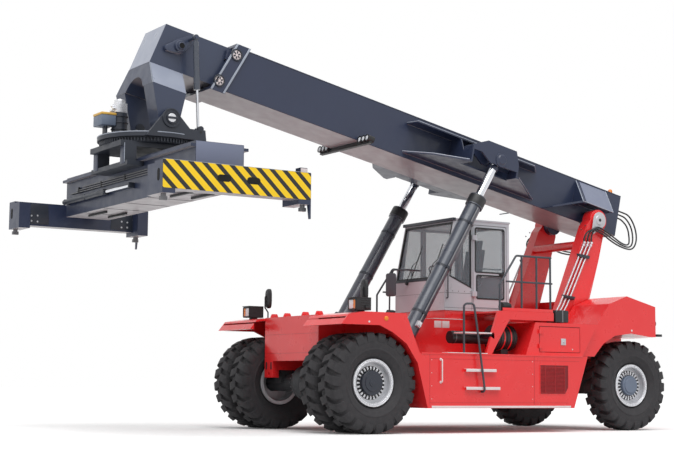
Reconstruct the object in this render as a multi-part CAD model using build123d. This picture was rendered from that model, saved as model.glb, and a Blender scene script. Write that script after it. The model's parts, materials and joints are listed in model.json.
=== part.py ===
from build123d import *

# Reach stacker for 20 to 40 ft containers, standing on its wheels with the boom at 12 degrees.
# Millimetres. X points forward, Y to the driver's left, Z up. Sizes are written from the point
# on the ground under the front axle; the files are moved so that the origin is the middle of
# the ground area that the machine covers.
import os
from math import cos, hypot, radians, sin

SIDES = (("left", 1), ("right", -1))

# ---- wheels and axles
WHEELBASE = 5850
TYRE_RADIUS = 808          # out to the tips of the lugs
TYRE_WIDTH = 490
RIM_RADIUS = 381           # over the flange
RIM_WIDTH = 350
RIM_FLANGE = 19
TWIN_SPACING = 580
DISC_OFFSET = 60           # from the middle of a rim out to its disc
FRONT_OUTER_Y = 1758       # middle of the outer front tyre
FRONT_INNER_Y = FRONT_OUTER_Y - TWIN_SPACING
REAR_Y = 1440              # middle of a rear tyre
KINGPIN_Y = 1080
KINGPIN_RADIUS = 45
KNUCKLE_Z = (690, 925)     # between the two lips of the axle's fork
AXLE_Z = TYRE_RADIUS
REAR_AXLE_X = -WHEELBASE

# ---- chassis and body
BEAM_INNER_Y = 600         # longitudinal beams of the chassis
BEAM_OUTER_Y = 880
REAR_BEAM_OUTER_Y = 690    # between the steered wheels
CHASSIS_FRONT_X = 380
FRONT_LEG = 120            # length of the legs under the front plate
TIE_HOLE_RADIUS = 32       # tie-down holes in those legs
TIE_HOLE_Z = 955
CHASSIS_TOP_Z = 1920
REAR_BEAM_LOW_Z = 1300
DECK_TOP_Z = 2050
BODY_HALF_WIDTH = 2050     # over the fenders and side boxes
BODY_BOTTOM_Z = 410
SIDE_BOX_TOP_Z = 1300
FENDER_TOP = ((240, 1930), (-550, 1925))   # side view, from the front corner to the rear one
STEP_DEPTH = 60
SKIN = 30                  # fender and cover plates
TOW_REACH = 130            # length of the towing jaw behind the low block
TOW_PIN_RADIUS = 26
TOW_Z = 880
COVER_OUTER_Y = 1900
ENGINE_DOORWAY = ((-4380, -3450), (1360, 1810))   # x and z
ENGINE_HINGE = (-3442, 1918)                      # x and y of the door's hinge line
REAR_HALF_WIDTH = 1800
REAR_OVERHANG = 900        # from the rear axle to the end of the counterweight
REAR_CORNER = 450          # length of the rounded rear corners
LOW_BLOCK_LENGTH = 390

# ---- boom
PIVOT_X = -5850
PIVOT_Z = 3900
BOOM_ANGLE = 12.1          # degrees above level, as it stands
BOOM_HALF_WIDTH = 470
BOOM_LOW = -60             # lower and upper faces, square to the boom, from the pivot line
BOOM_HIGH = 740
BOOM_WALL = 20
BOOM_REAR = -740           # along the boom, from the pivot
COLLAR_REAR = 7990         # foot of the slanting collar at the open end
COLLAR_LEAN = -300         # how far its top lies behind its foot
COLLAR_LENGTH = 275
INNER_HALF_WIDTH = 390
INNER_LOW = 0
INNER_HIGH = 698
INNER_WALL = 18
INNER_REAR = 250
PIVOT_PIN_RADIUS = 90
PIN_GAP = 0.3              # radial, between a pin and its bore
FACE_GAP = 0.3             # between a running face and its seat, or a pane and its frame
ROD_GAP = 0.4              # radial, between a rod and the gland of its barrel

# ---- boom head, measured along and square to the boom
HEAD_PIN = (8940, -885)
HEAD_REAR = 8740
HEAD_FRONT = 9340
LEG_INNER_Y = 360
LEG_OUTER_Y = 700
HEAD_PIN_RADIUS = 75

# ---- tower that carries the boom
TOWER_INNER_Y = 580
TOWER_OUTER_Y = 800
TOWER_HEAD_RADIUS = 200

# ---- lift cylinders
LIFT_Y = 1180
LIFT_BASE = (-1103, 1461)
LIFT_EYE = (2850, 245)     # along and square to the boom
LIFT_BARREL_RADIUS = 135
LIFT_ROD_RADIUS = 78
LIFT_BARREL_LENGTH = 3040
LIFT_MOUTH_RATIO = 1.16    # head of the barrel over its tube
LIFT_ROD_TAIL = 2230       # rod inside the barrel as the boom stands
LIFT_RETRACTION = 580      # how far it goes further in with the boom level
LIFT_FOOT_RADIUS = 130
LIFT_EYE_RADIUS = 105
LIFT_EYE_WIDTH = 170
LIFT_PIN_RADIUS = 70

# ---- damper cylinders between the head and the yoke
DAMPER_Y = 620
DAMPER_TOP = (8756, 575)   # along and square to the boom
DAMPER_BARREL_RADIUS = 46
DAMPER_ROD_RADIUS = 22
DAMPER_BARREL_LENGTH = 850
DAMPER_ROD_TAIL = 250
DAMPER_RETRACTION = 420

# ---- spreader
TWISTLOCK_X = 1130         # half of the lock spacing across the container
TWISTLOCK_Y = 2927         # half of the lock spacing along a 20 ft container
TWISTLOCK_TIP_Z = 3308
END_BEAM_HALF_LENGTH = 1205
END_BEAM_OUTER_Y = 3050
END_BEAM_INNER_Y = 2790
CORNER_BOX_INNER_Y = 2560
END_BEAM_LOW_Z = 3470
END_BEAM_TOP_Z = 3870
LOCK_HOUSING_LOW_Z = 3400
LOCK_SHANK_RADIUS = 38
FRAME_HALF_WIDTH = 400
FRAME_HALF_LENGTH = 2450
FRAME_LOW_Z = 3620
FRAME_TOP_Z = 4290
RAIL_WIDTH = 78            # slide rail that stands out along the top of the frame
RAIL_LOW_Z = 4200
BEAM_CENTRE_X = 195        # telescopic beams inside the frame
BEAM_HALF_WIDTH = 165
BEAM_LOW_Z = 3680
BEAM_TOP_Z = 3860
RING_RADIUS = 830
RING_LOW_Z = 4520
RING_TOP_Z = 4600
YOKE_PLATE_Z = (RING_TOP_Z + FACE_GAP, 4680)
EAR_INNER_Y = 725
EAR_OUTER_Y = 800

# ---- cab
CAB_FRONT_X = -2280
CAB_ROOF_FRONT_X = -2500
CAB_REAR_X = -3730
CAB_HALF_WIDTH = 750
CAB_LOW_Z = 2090
CAB_SILL_Z = 2660
CAB_TOP_Z = 3700
CAB_WALL = 50
DOOR_FRONT_X = -2905
DOOR_GAP = 8
DOOR_HINGE = (-2895, 775)  # x and y of the door's hinge line


# ---------------------------------------------------------------- shaping helpers

def block(x, y, z):
    """Box from three (low, high) pairs."""
    size = [high - low for low, high in (x, y, z)]
    centre = [(high + low) / 2 for low, high in (x, y, z)]
    return Pos(*centre) * Box(*size)


def slab_y(outline, y0, y1):
    """Side outline of (x, z) points, extruded across from y0 to y1."""
    face = Face(Wire.make_polygon([(x, y0, z) for x, z in outline], close=True))
    return extrude(face, amount=y1 - y0, dir=(0, 1, 0))


def slab_x(outline, x0, x1):
    """Front outline of (y, z) points, extruded from x0 to x1."""
    face = Face(Wire.make_polygon([(x0, y, z) for y, z in outline], close=True))
    return extrude(face, amount=x1 - x0, dir=(1, 0, 0))


def slab_z(outline, z0, z1):
    """Plan outline of (x, y) points, extruded from z0 to z1."""
    face = Face(Wire.make_polygon([(x, y, z0) for x, y in outline], close=True))
    return extrude(face, amount=z1 - z0, dir=(0, 0, 1))


def drum_y(radius, y0, y1, x, z):
    """Cylinder along Y."""
    return Pos(x, (y0 + y1) / 2, z) * Rot(90, 0, 0) * Cylinder(radius, y1 - y0)


def drum_x(radius, x0, x1, y, z):
    """Cylinder along X."""
    return Pos((x0 + x1) / 2, y, z) * Rot(0, 90, 0) * Cylinder(radius, x1 - x0)


def drum_z(radius, z0, z1, x, y):
    """Upright cylinder."""
    return Pos(x, y, (z0 + z1) / 2) * Cylinder(radius, z1 - z0)


def bar(start, end, radius):
    """Round bar from one point to another."""
    along = Vector(*end) - Vector(*start)
    stock = Cylinder(radius, along.length, align=(Align.CENTER, Align.CENTER, Align.MIN))
    return Plane(origin=start, z_dir=along).location * stock


def pipe_run(points, radius, bend):
    """Bent round tube through points, every corner with the same bend radius."""
    path = FilletPolyline(*points, radius=bend)
    start = Plane(origin=path @ 0, z_dir=path % 0)
    return sweep(start * Circle(radius), path=path)


def on_side(shape, sign):
    """Left-hand shape as it is, or mirrored to the right."""
    return shape if sign > 0 else mirror(shape, about=Plane.XZ)


def both_sides(shape):
    """Left-hand shape with its mirror image."""
    return shape + mirror(shape, about=Plane.XZ)


def turned(points, angle, centre):
    """Points turned by an angle in degrees about a centre, in the side view."""
    c, s = cos(radians(angle)), sin(radians(angle))
    return [(centre[0] + c * x - s * z, centre[1] + s * x + c * z) for x, z in points]


def boom_point(along, square):
    """Side-view point (x, z) of a place given along and square to the boom."""
    return turned([(along, square)], BOOM_ANGLE, (PIVOT_X, PIVOT_Z))[0]


BOOM_PLACE = Location((PIVOT_X, 0, PIVOT_Z), (0, -BOOM_ANGLE, 0))
HEAD_PIN_X, HEAD_PIN_Z = boom_point(*HEAD_PIN)
SLEW_X = HEAD_PIN_X
LIFT_EYE_X, LIFT_EYE_Z = boom_point(*LIFT_EYE)
DAMPER_TOP_X, DAMPER_TOP_Z = boom_point(*DAMPER_TOP)
DAMPER_FOOT = (SLEW_X - 560, 4800)
REAR_END_X = REAR_AXLE_X - REAR_OVERHANG
REAR_CORNER_X = REAR_END_X + REAR_CORNER
FRONT_END_X = SLEW_X + END_BEAM_HALF_LENGTH
ORIGIN_X = (FRONT_END_X + REAR_END_X) / 2


# ---------------------------------------------------------------- wheels and axles

def tyre(y_middle, x):
    """One tyre as a plain ring with its shoulders and side walls."""
    half = TYRE_WIDTH / 2
    bead = RIM_WIDTH / 2 - RIM_FLANGE - 1
    profile = [(RIM_RADIUS - 25, -bead), (RIM_RADIUS + 3, -bead), (RIM_RADIUS + 60, -half + 25),
               (620, -half), (720, -half + 5), (TYRE_RADIUS, -half + 40),
               (TYRE_RADIUS, half - 40), (720, half - 5), (620, half),
               (RIM_RADIUS + 60, half - 25), (RIM_RADIUS + 3, bead), (RIM_RADIUS - 25, bead)]
    face = Face(Wire.make_polygon([(r, y, 0) for r, y in profile], close=True))
    return Pos(x, y_middle, AXLE_Z) * revolve(face, axis=Axis.Y)


def rim(y_middle, x, hub_y):
    """One rim: outer barrel with flanges and the disc that meets the hub."""
    half = RIM_WIDTH / 2
    seat = half - RIM_FLANGE
    profile = [(RIM_RADIUS - 25.3, -seat), (RIM_RADIUS, -seat), (RIM_RADIUS, -half),
               (RIM_RADIUS - 60, -half), (RIM_RADIUS - 60, half), (RIM_RADIUS, half),
               (RIM_RADIUS, seat), (RIM_RADIUS - 25.3, seat)]
    face = Face(Wire.make_polygon([(r, y, 0) for r, y in profile], close=True))
    barrel = Pos(0, y_middle, 0) * revolve(face, axis=Axis.Y)
    disc = drum_y(RIM_RADIUS - 50, hub_y, hub_y + 30, 0, 0)
    return Pos(x, 0, AXLE_Z) * (barrel + disc)


def front_wheel_parts(sign):
    """Twin tyres, and the twin rims with their planetary hub."""
    tyres = Compound([tyre(sign * y, 0) for y in (FRONT_OUTER_Y, FRONT_INNER_Y)])
    disc_y = FRONT_OUTER_Y + DISC_OFFSET
    rims = rim(FRONT_OUTER_Y, 0, disc_y) + rim(FRONT_INNER_Y, 0, disc_y - TWIN_SPACING)
    rims += drum_y(RIM_RADIUS - 55, FRONT_INNER_Y + RIM_WIDTH / 2 - 5,
                   FRONT_OUTER_Y - RIM_WIDTH / 2 + 5, 0, AXLE_Z)
    rims += drum_y(190, disc_y, FRONT_OUTER_Y + 150, 0, AXLE_Z)
    return tyres, on_side(rims, sign)


def rear_wheel_parts(sign):
    """Single rear tyre, and its rim with the hub cap."""
    disc_y = REAR_Y + DISC_OFFSET
    rims = rim(REAR_Y, REAR_AXLE_X, disc_y)
    rims += drum_y(170, disc_y, REAR_Y + 150, REAR_AXLE_X, AXLE_Z)
    return tyre(sign * REAR_Y, REAR_AXLE_X), on_side(rims, sign)


def front_axle():
    """Drive axle: differential housing, tapered arms and their mounting pads."""
    arm_end = FRONT_INNER_Y + DISC_OFFSET - FACE_GAP
    profile = [(0, -270), (170, -270), (300, -110), (320, 0), (300, 110), (170, 270), (0, 270)]
    bowl = revolve(Face(Wire.make_polygon([(r, y, 0) for r, y in profile], close=True)), axis=Axis.Y)
    housing = Pos(0, 0, AXLE_Z) * bowl
    arms = drum_y(150, -arm_end, arm_end, 0, AXLE_Z)
    pads = both_sides(block((-200, 200), (BEAM_INNER_Y + 20, BEAM_OUTER_Y - 40), (AXLE_Z, 1020)))
    return housing + arms + pads


def rear_axle():
    """Steering axle: box beam with a fork for the king pin at each end."""
    beam = block((REAR_AXLE_X - 170, REAR_AXLE_X + 170), (-KINGPIN_Y + 100, KINGPIN_Y - 100), (650, 960))
    low, high = KNUCKLE_Z
    fork = block((REAR_AXLE_X - 110, REAR_AXLE_X + 110), (KINGPIN_Y - 110, KINGPIN_Y + 90), (low - 70, low))
    fork += block((REAR_AXLE_X - 110, REAR_AXLE_X + 110), (KINGPIN_Y - 110, KINGPIN_Y + 90), (high, high + 70))
    fork -= drum_z(KINGPIN_RADIUS + PIN_GAP, low - 80, high + 80, REAR_AXLE_X, KINGPIN_Y)
    pivot = block((REAR_AXLE_X - 240, REAR_AXLE_X + 240), (-220, 220), (950, REAR_BEAM_LOW_Z))
    return beam + both_sides(fork) + pivot


def knuckle(sign):
    """Steering knuckle: upright with the king pin and the stub axle."""
    low, high = KNUCKLE_Z
    upright = block((REAR_AXLE_X - 90, REAR_AXLE_X + 90), (KINGPIN_Y, KINGPIN_Y + 110),
                    (low + FACE_GAP, high - FACE_GAP))
    upright += drum_z(2 * KINGPIN_RADIUS, low + FACE_GAP, high - FACE_GAP, REAR_AXLE_X, KINGPIN_Y)
    upright += drum_z(KINGPIN_RADIUS, low - 85, high + 85, REAR_AXLE_X, KINGPIN_Y)
    stub = drum_y(110, KINGPIN_Y + 90, REAR_Y + DISC_OFFSET - FACE_GAP, REAR_AXLE_X, AXLE_Z)
    return on_side(upright + stub, sign)


# ---------------------------------------------------------------- chassis and body

def chassis_frame():
    """Two longitudinal box beams, the front plate, cross boxes and the upper deck."""
    beam_outline = [(CHASSIS_FRONT_X, CHASSIS_TOP_Z), (CHASSIS_FRONT_X, 890), (CHASSIS_FRONT_X - FRONT_LEG, 890),
                    (CHASSIS_FRONT_X - FRONT_LEG, 1020), (-300, 1020), (-950, BODY_BOTTOM_Z + 60),
                    (-4500, BODY_BOTTOM_Z + 60), (-5000, REAR_BEAM_LOW_Z), (-6000, REAR_BEAM_LOW_Z),
                    (-6000, CHASSIS_TOP_Z)]
    beam = slab_y(beam_outline, BEAM_INNER_Y, BEAM_OUTER_Y)
    beam -= block((-6100, -5000), (REAR_BEAM_OUTER_Y, BEAM_OUTER_Y + 5), (1200, CHASSIS_TOP_Z - 100))
    frame = both_sides(beam)
    cross_boxes = (
        # x low, x high, z low, z high
        (CHASSIS_FRONT_X - 40, CHASSIS_FRONT_X, 1170, CHASSIS_TOP_Z),
        (-1300, -1000, 700, CHASSIS_TOP_Z),
        (-2400, -2250, 700, CHASSIS_TOP_Z),
        (-5000, -4850, REAR_BEAM_LOW_Z, CHASSIS_TOP_Z),
        (-6000, -5700, REAR_BEAM_LOW_Z, CHASSIS_TOP_Z),
    )
    for x0, x1, z0, z1 in cross_boxes:
        frame += block((x0, x1), (-BEAM_INNER_Y - 5, BEAM_INNER_Y + 5), (z0, z1))
    frame += block((-3900, CHASSIS_FRONT_X), (-BEAM_OUTER_Y, BEAM_OUTER_Y),
                   (CHASSIS_TOP_Z - 30, CHASSIS_TOP_Z))
    middle = (BEAM_INNER_Y + BEAM_OUTER_Y) / 2
    for y in (-middle, middle):
        frame -= drum_x(TIE_HOLE_RADIUS, CHASSIS_FRONT_X - FRONT_LEG - 5, CHASSIS_FRONT_X + 5, y, TIE_HOLE_Z)
    return frame + lift_cylinder_brackets()


def lift_cylinder_brackets():
    """Plates that hold the foot pins of the lift cylinders."""
    x, z = LIFT_BASE
    outline = [(x - 260, SIDE_BOX_TOP_Z), (x + 260, SIDE_BOX_TOP_Z), (x + 150, z + 60),
               (x + 60, z + 130), (x - 60, z + 130), (x - 150, z + 60)]
    half_gap = LIFT_EYE_WIDTH / 2 + 8
    plates = slab_y(outline, LIFT_Y - half_gap - 40, LIFT_Y - half_gap)
    plates += slab_y(outline, LIFT_Y + half_gap, LIFT_Y + half_gap + 40)
    plates += block((x - 200, x + 200), (BEAM_OUTER_Y - 5, LIFT_Y - half_gap - 5),
                    (SIDE_BOX_TOP_Z, SIDE_BOX_TOP_Z + 100))
    plates += block((x - 200, x + 200), (LIFT_Y - half_gap - 5, LIFT_Y + half_gap + 5),
                    (SIDE_BOX_TOP_Z, SIDE_BOX_TOP_Z + 20))
    pin = drum_y(LIFT_PIN_RADIUS, LIFT_Y - half_gap - 60, LIFT_Y + half_gap + 60, x, z)
    return both_sides(plates + pin)


def side_body(sign):
    """Front fender and the long box between the wheels, in one welded body."""
    fender = [(680, 1720), (550, 1880), *FENDER_TOP, (-820, SIDE_BOX_TOP_Z)]
    rear = [(-4420, SIDE_BOX_TOP_Z), (-4100, BODY_BOTTOM_Z)]
    arch = [(-980, BODY_BOTTOM_Z), (-885, 760), (-781, 1131), (-564, 1438), (-300, 1610), (-40, 1720), (120, 1720)]
    body = slab_y(fender + rear + arch, BEAM_OUTER_Y, BODY_HALF_WIDTH)
    hollow = [(600, 1600), (600, 1840), (230, 1930 - SKIN), (-520, 1925 - SKIN), (-520, 1600)]
    body -= slab_y(hollow, BEAM_OUTER_Y - 1, BODY_HALF_WIDTH - SKIN)
    for z, x_rear in ((1030, -2340), (735, -2420)):
        body += block((x_rear, -1720), (BODY_HALF_WIDTH - 5, BODY_HALF_WIDTH + STEP_DEPTH), (z - 20, z + 20))
    return on_side(body, sign)


def engine_cover(sign):
    """Box over the engine bay beside the beam, with its side left open for the door."""
    outline = [(-3150, SIDE_BOX_TOP_Z), (-3370, 1870), (-4800, 1870), (-4430, SIDE_BOX_TOP_Z)]
    cover = slab_y(outline, BEAM_OUTER_Y, COVER_OUTER_Y)
    inner = [(-3230, SIDE_BOX_TOP_Z + SKIN), (-3400, 1840), (-4700, 1840), (-4400, SIDE_BOX_TOP_Z + SKIN)]
    cover -= slab_y(inner, BEAM_OUTER_Y + SKIN, COVER_OUTER_Y - SKIN)
    cover -= block(ENGINE_DOORWAY[0], (COVER_OUTER_Y - 100, COVER_OUTER_Y + 50), ENGINE_DOORWAY[1])
    return on_side(cover, sign)


def engine_door(sign):
    """Side door of the engine bay, hung at its front edge."""
    x0, x1 = ENGINE_DOORWAY[0][0] + DOOR_GAP, ENGINE_DOORWAY[0][1] - DOOR_GAP
    door = block((x0, x1), (COVER_OUTER_Y - SKIN, COVER_OUTER_Y), inset(ENGINE_DOORWAY[1], DOOR_GAP))
    for z in (1430, 1680):
        door += hinge_leaf(x1, COVER_OUTER_Y, ENGINE_HINGE, (z, z + 70))
    return on_side(door, sign)


def hinge_leaf(edge_x, face_y, hinge, z):
    """Strap on a door's face that runs past its front edge to the hinge barrel."""
    hinge_x, hinge_y = hinge
    radius = hinge_y - face_y - FACE_GAP
    leaf = block((edge_x - 60, edge_x), (face_y - 5, hinge_y + radius / 2), z)
    leaf += block((edge_x - 10, hinge_x), (face_y + FACE_GAP, hinge_y + radius / 2), z)
    return leaf + drum_z(radius, *z, hinge_x, hinge_y)


def boom_tower():
    """Leaning tower of two box posts with bearing heads, joined by a cross tube."""
    outline = [(-4780, CHASSIS_TOP_Z), (-5560, 3790), (-5700, 3950), (-6000, 3950), (-5990, 3700),
               (-5830, 3140), (-5590, 2410), (-5380, CHASSIS_TOP_Z)]
    post = slab_y(outline, TOWER_INNER_Y, TOWER_OUTER_Y)
    post += drum_y(TOWER_HEAD_RADIUS, TOWER_INNER_Y, TOWER_OUTER_Y, PIVOT_X, PIVOT_Z)
    post += drum_y(150, TOWER_OUTER_Y - 5, TOWER_OUTER_Y + 35, PIVOT_X, PIVOT_Z)
    post -= drum_y(PIVOT_PIN_RADIUS + PIN_GAP, TOWER_INNER_Y - 5, TOWER_OUTER_Y + 15, PIVOT_X, PIVOT_Z)
    cross = drum_y(80, -TOWER_INNER_Y - 5, TOWER_INNER_Y + 5, -5480, 3420)
    return both_sides(post) + cross


def counterweight():
    """Cast rear mass: full-width hood over the wheels and a block down between them."""
    outline = [(-4480, 1310), (-4890, 1900), (-5180, 2260), (-5600, 2410), (REAR_CORNER_X, 2240),
               (REAR_END_X, 2200), (REAR_END_X, 1690), (REAR_AXLE_X - REAR_OVERHANG / 3, 1690),
               (REAR_AXLE_X + 150, 1740), (-5300, 1690),
               (-5020, 1540), (-4800, 1310)]
    hood = slab_y(outline, -REAR_HALF_WIDTH, REAR_HALF_WIDTH)
    hood -= block((-6000, -4400), (-BEAM_OUTER_Y, BEAM_OUTER_Y), (1200, CHASSIS_TOP_Z))
    hood -= block((-5640, -4400), (-TOWER_OUTER_Y - 40, TOWER_OUTER_Y + 40), (1200, 3000))
    block_end = REAR_END_X + TOW_REACH
    low_block = block((block_end, block_end + LOW_BLOCK_LENGTH), (-560, 560), (700, 1700))
    for z in (TOW_Z - 75, TOW_Z + 35):
        low_block += block((REAR_END_X + 5, REAR_END_X + TOW_REACH + 5), (-90, 90), (z, z + 40))
    low_block -= drum_z(TOW_PIN_RADIUS, TOW_Z - 80, TOW_Z + 80, REAR_END_X + 65, 0)
    mass = hood + low_block
    plan = [(-4400, -REAR_HALF_WIDTH - 5), (-4400, REAR_HALF_WIDTH + 5)]
    bow = ThreePointArc((REAR_CORNER_X, plan[1][1]), (REAR_END_X, 0), (REAR_CORNER_X, plan[0][1]))
    sides = Polyline((REAR_CORNER_X, plan[0][1]), plan[0], plan[1], (REAR_CORNER_X, plan[1][1]))
    limit = extrude(make_face([bow, sides]), amount=3000)
    return mass & limit


def engine_block():
    """Engine and gearbox as one plain mass between the beams, on its bearers."""
    engine = block((-4750, -3150), (-480, 480), (900, 1800))
    reach = BEAM_INNER_Y - FACE_GAP
    for x in (-4400, -3400):
        engine += block((x - 60, x + 60), (-reach, reach), (940, 1020))
    return engine


def access_deck(sign):
    """Walkway beside the cab with its cranked carrying plate."""
    deck = block((-3780, -2670), (BEAM_OUTER_Y - 130, 1880), (DECK_TOP_Z - 30, DECK_TOP_Z))
    crank = [(-2410, SIDE_BOX_TOP_Z), (-2290, SIDE_BOX_TOP_Z), (-2560, DECK_TOP_Z - 10), (-3780, DECK_TOP_Z - 10),
             (-3780, DECK_TOP_Z - 150), (-2800, DECK_TOP_Z - 150)]
    deck += slab_y(crank, 1850, 1900)
    return on_side(deck, sign)


def guard_rail(sign):
    """Handrails round the walkway and the hoop at the steps."""
    y = 1860
    top, mid = 3000, 2550
    rail = pipe_run([(-2620, y, DECK_TOP_Z), (-2620, y, mid - 60), (-2980, y, top), (-3760, y, top)], 18, 60)
    rail += bar((-2760, y, mid), (-3780, y, mid), 16)
    for x in (-3100, -3430, -3740):
        rail += bar((x, y, DECK_TOP_Z), (x, y, top), 18)
    foot_y, hoop_y = BODY_HALF_WIDTH - 60, BODY_HALF_WIDTH + STEP_DEPTH + 30
    hoop = pipe_run([(-1760, foot_y, SIDE_BOX_TOP_Z), (-1760, foot_y, 2130), (-1900, hoop_y - 60, 2130),
                     (-1985, hoop_y, SIDE_BOX_TOP_Z), (-2080, hoop_y, 680), (-2080, BODY_HALF_WIDTH, 680)], 18, 60)
    return on_side(rail, sign), on_side(hoop, sign)


def air_cleaner():
    """Air cleaner drum under the walkway with its intake pipe."""
    drum = drum_x(215, -3120, -2720, 1500, 1600)
    intake = drum_x(105, -2700, -1830, 1500, 1590)
    foot = block((-3000, -2850), (1400, 1600), (SIDE_BOX_TOP_Z, 1420))
    return drum + intake + drum_x(140, -2730, -2690, 1500, 1590) + foot


def fender_top(x):
    """Height of the front fender's flat top at x."""
    (x0, z0), (x1, z1) = FENDER_TOP
    return z0 + (z1 - z0) * (x - x0) / (x1 - x0)


def front_lamps():
    """Work lamp with its turn signal on each front fender."""
    body = block((0, 280), (1620, 1860), (1960, 2150))
    foot = [(80, fender_top(80)), (200, fender_top(200)), (200, 1965), (80, 1965)]
    body += slab_y(foot, 1700, 1780)
    return body, mirror(body, about=Plane.XZ)


def mirrors():
    """Rear-view mirror on a stalk at each front fender."""
    stalk = bar((-60, 1560, fender_top(-60) + 0.3), (-60, 1560, 2400), 14)
    head = block((-90, -40), (1470, 1650), (2130, 2480))
    piece = stalk + head
    return piece, mirror(piece, about=Plane.XZ)


# ---------------------------------------------------------------- cab

WINDSCREEN = (CAB_HALF_WIDTH - 60, CAB_SILL_Z + 30, CAB_TOP_Z - 70)
SIDE_WINDOW = [(-2410, 2700), (-2560, 3620), (-2850, 3620), (-2850, 2520)]
REAR_WINDOW = ((-620, 620), (2760, 3620))
RIGHT_WINDOW = ((CAB_REAR_X + 90, DOOR_FRONT_X - 30), (2760, 3620))
DOORWAY = ((CAB_REAR_X + 60, DOOR_FRONT_X), (CAB_LOW_Z + 60, CAB_TOP_Z - 70))
DOOR_EDGE = ((CAB_REAR_X + 60 + DOOR_GAP, DOOR_FRONT_X - DOOR_GAP),
             (CAB_LOW_Z + 60 + DOOR_GAP, CAB_TOP_Z - 70 - DOOR_GAP))
DOOR_UPPER_WINDOW = ((DOOR_EDGE[0][0] + 60, DOOR_EDGE[0][1] - 60), (2800, DOOR_EDGE[1][1] - 60))
DOOR_LOWER_WINDOW = ((DOOR_EDGE[0][0] + 70, DOOR_EDGE[0][1] - 90), (2330, 2720))


def screen_x(z):
    """Place of the sloping windscreen's outer face at height z."""
    return CAB_FRONT_X + (CAB_ROOF_FRONT_X - CAB_FRONT_X) * (z - CAB_SILL_Z) / (CAB_TOP_Z - CAB_SILL_Z)


def inset(pair, gap):
    """A (low, high) pair drawn in by a gap at both ends."""
    return pair[0] + gap, pair[1] - gap


def cab_shell():
    """Hollow cab with its window openings and the doorway on the left."""
    outline = [(CAB_FRONT_X, CAB_LOW_Z), (CAB_FRONT_X, CAB_SILL_Z), (CAB_ROOF_FRONT_X, CAB_TOP_Z),
               (CAB_REAR_X, CAB_TOP_Z), (CAB_REAR_X, CAB_LOW_Z)]
    wall, half = CAB_WALL, CAB_HALF_WIDTH
    inner = [(CAB_FRONT_X - wall, CAB_LOW_Z + wall), (CAB_FRONT_X - wall, CAB_SILL_Z - 10),
             (CAB_ROOF_FRONT_X - wall, CAB_TOP_Z - wall), (CAB_REAR_X + wall, CAB_TOP_Z - wall),
             (CAB_REAR_X + wall, CAB_LOW_Z + wall)]
    shell = slab_y(outline, -half, half) - slab_y(inner, -half + wall, half - wall)
    y, low, high = WINDSCREEN
    shell -= slab_y([(screen_x(low) + 60, low), (screen_x(high) + 60, high), (screen_x(high) - 90, high),
                     (screen_x(low) - 90, low)], -y, y)
    shell -= slab_y(SIDE_WINDOW, -half - 10, half + 10)
    shell -= block((CAB_REAR_X - 10, CAB_REAR_X + wall + 10), *REAR_WINDOW)
    shell -= block(RIGHT_WINDOW[0], (-half - 10, -half + wall + 10), RIGHT_WINDOW[1])
    shell -= block(DOORWAY[0], (half - wall - 10, half + 10), DOORWAY[1])
    for x in (CAB_FRONT_X - 150, CAB_REAR_X + 150):
        for y in (-half + 150, half - 150):
            shell += drum_z(70, CHASSIS_TOP_Z, CAB_LOW_Z + 5, x, y)
    return shell


def cab_glass():
    """Window panes of the cab body."""
    middle = CAB_HALF_WIDTH - CAB_WALL / 2
    y, low, high = WINDSCREEN
    y, (low, high) = y - FACE_GAP, inset((low, high), FACE_GAP)
    front = slab_y([(screen_x(low) - 15, low), (screen_x(high) - 15, high), (screen_x(high) - 23, high),
                    (screen_x(low) - 23, low)], -y, y)
    pane = offset(Face(Wire.make_polygon([(x, middle - 4, z) for x, z in SIDE_WINDOW], close=True)),
                  amount=-FACE_GAP, kind=Kind.INTERSECTION)
    left = extrude(pane, amount=8, dir=(0, 1, 0))
    right_rear = block(inset(RIGHT_WINDOW[0], FACE_GAP), (-middle - 4, -middle + 4), inset(RIGHT_WINDOW[1], FACE_GAP))
    rear_x = CAB_REAR_X + CAB_WALL / 2
    rear = block((rear_x - 4, rear_x + 4), *[inset(pair, FACE_GAP) for pair in REAR_WINDOW])
    return [front, left, mirror(left, about=Plane.XZ), right_rear, rear]


def cab_door():
    """Door with its upper and lower window openings, hung at the front edge."""
    door = block(DOOR_EDGE[0], (CAB_HALF_WIDTH - CAB_WALL, CAB_HALF_WIDTH), DOOR_EDGE[1])
    for x, z in (DOOR_UPPER_WINDOW, DOOR_LOWER_WINDOW):
        door -= block(x, (CAB_HALF_WIDTH - CAB_WALL - 5, CAB_HALF_WIDTH + 5), z)
    return door + door_hinges()


def door_hinges():
    """Two hinges on the front edge of the door, which bear on the door post."""
    lower, upper = [hinge_leaf(DOOR_EDGE[0][1], CAB_HALF_WIDTH, DOOR_HINGE, (z, z + 90)) for z in (2350, 3350)]
    return lower + upper


def cab_door_glass():
    """Panes of the door."""
    middle = CAB_HALF_WIDTH - CAB_WALL / 2
    return [block(inset(x, FACE_GAP), (middle - 4, middle + 4), inset(z, FACE_GAP))
            for x, z in (DOOR_UPPER_WINDOW, DOOR_LOWER_WINDOW)]


def cab_seat():
    """Driver's seat on its pedestal."""
    seat = block((-3420, -2940), (-240, 240), (2480, 2600))
    back = slab_y([(-3380, 2600), (-3500, 2600), (-3600, 3250), (-3500, 3250)], -220, 220)
    head = slab_y([(-3515, 3250), (-3600, 3250), (-3630, 3430), (-3545, 3430)], -120, 120)
    post = block((-3330, -3050), (-130, 130), (CAB_LOW_Z + CAB_WALL, 2490))
    return seat + back + head + post


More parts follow.
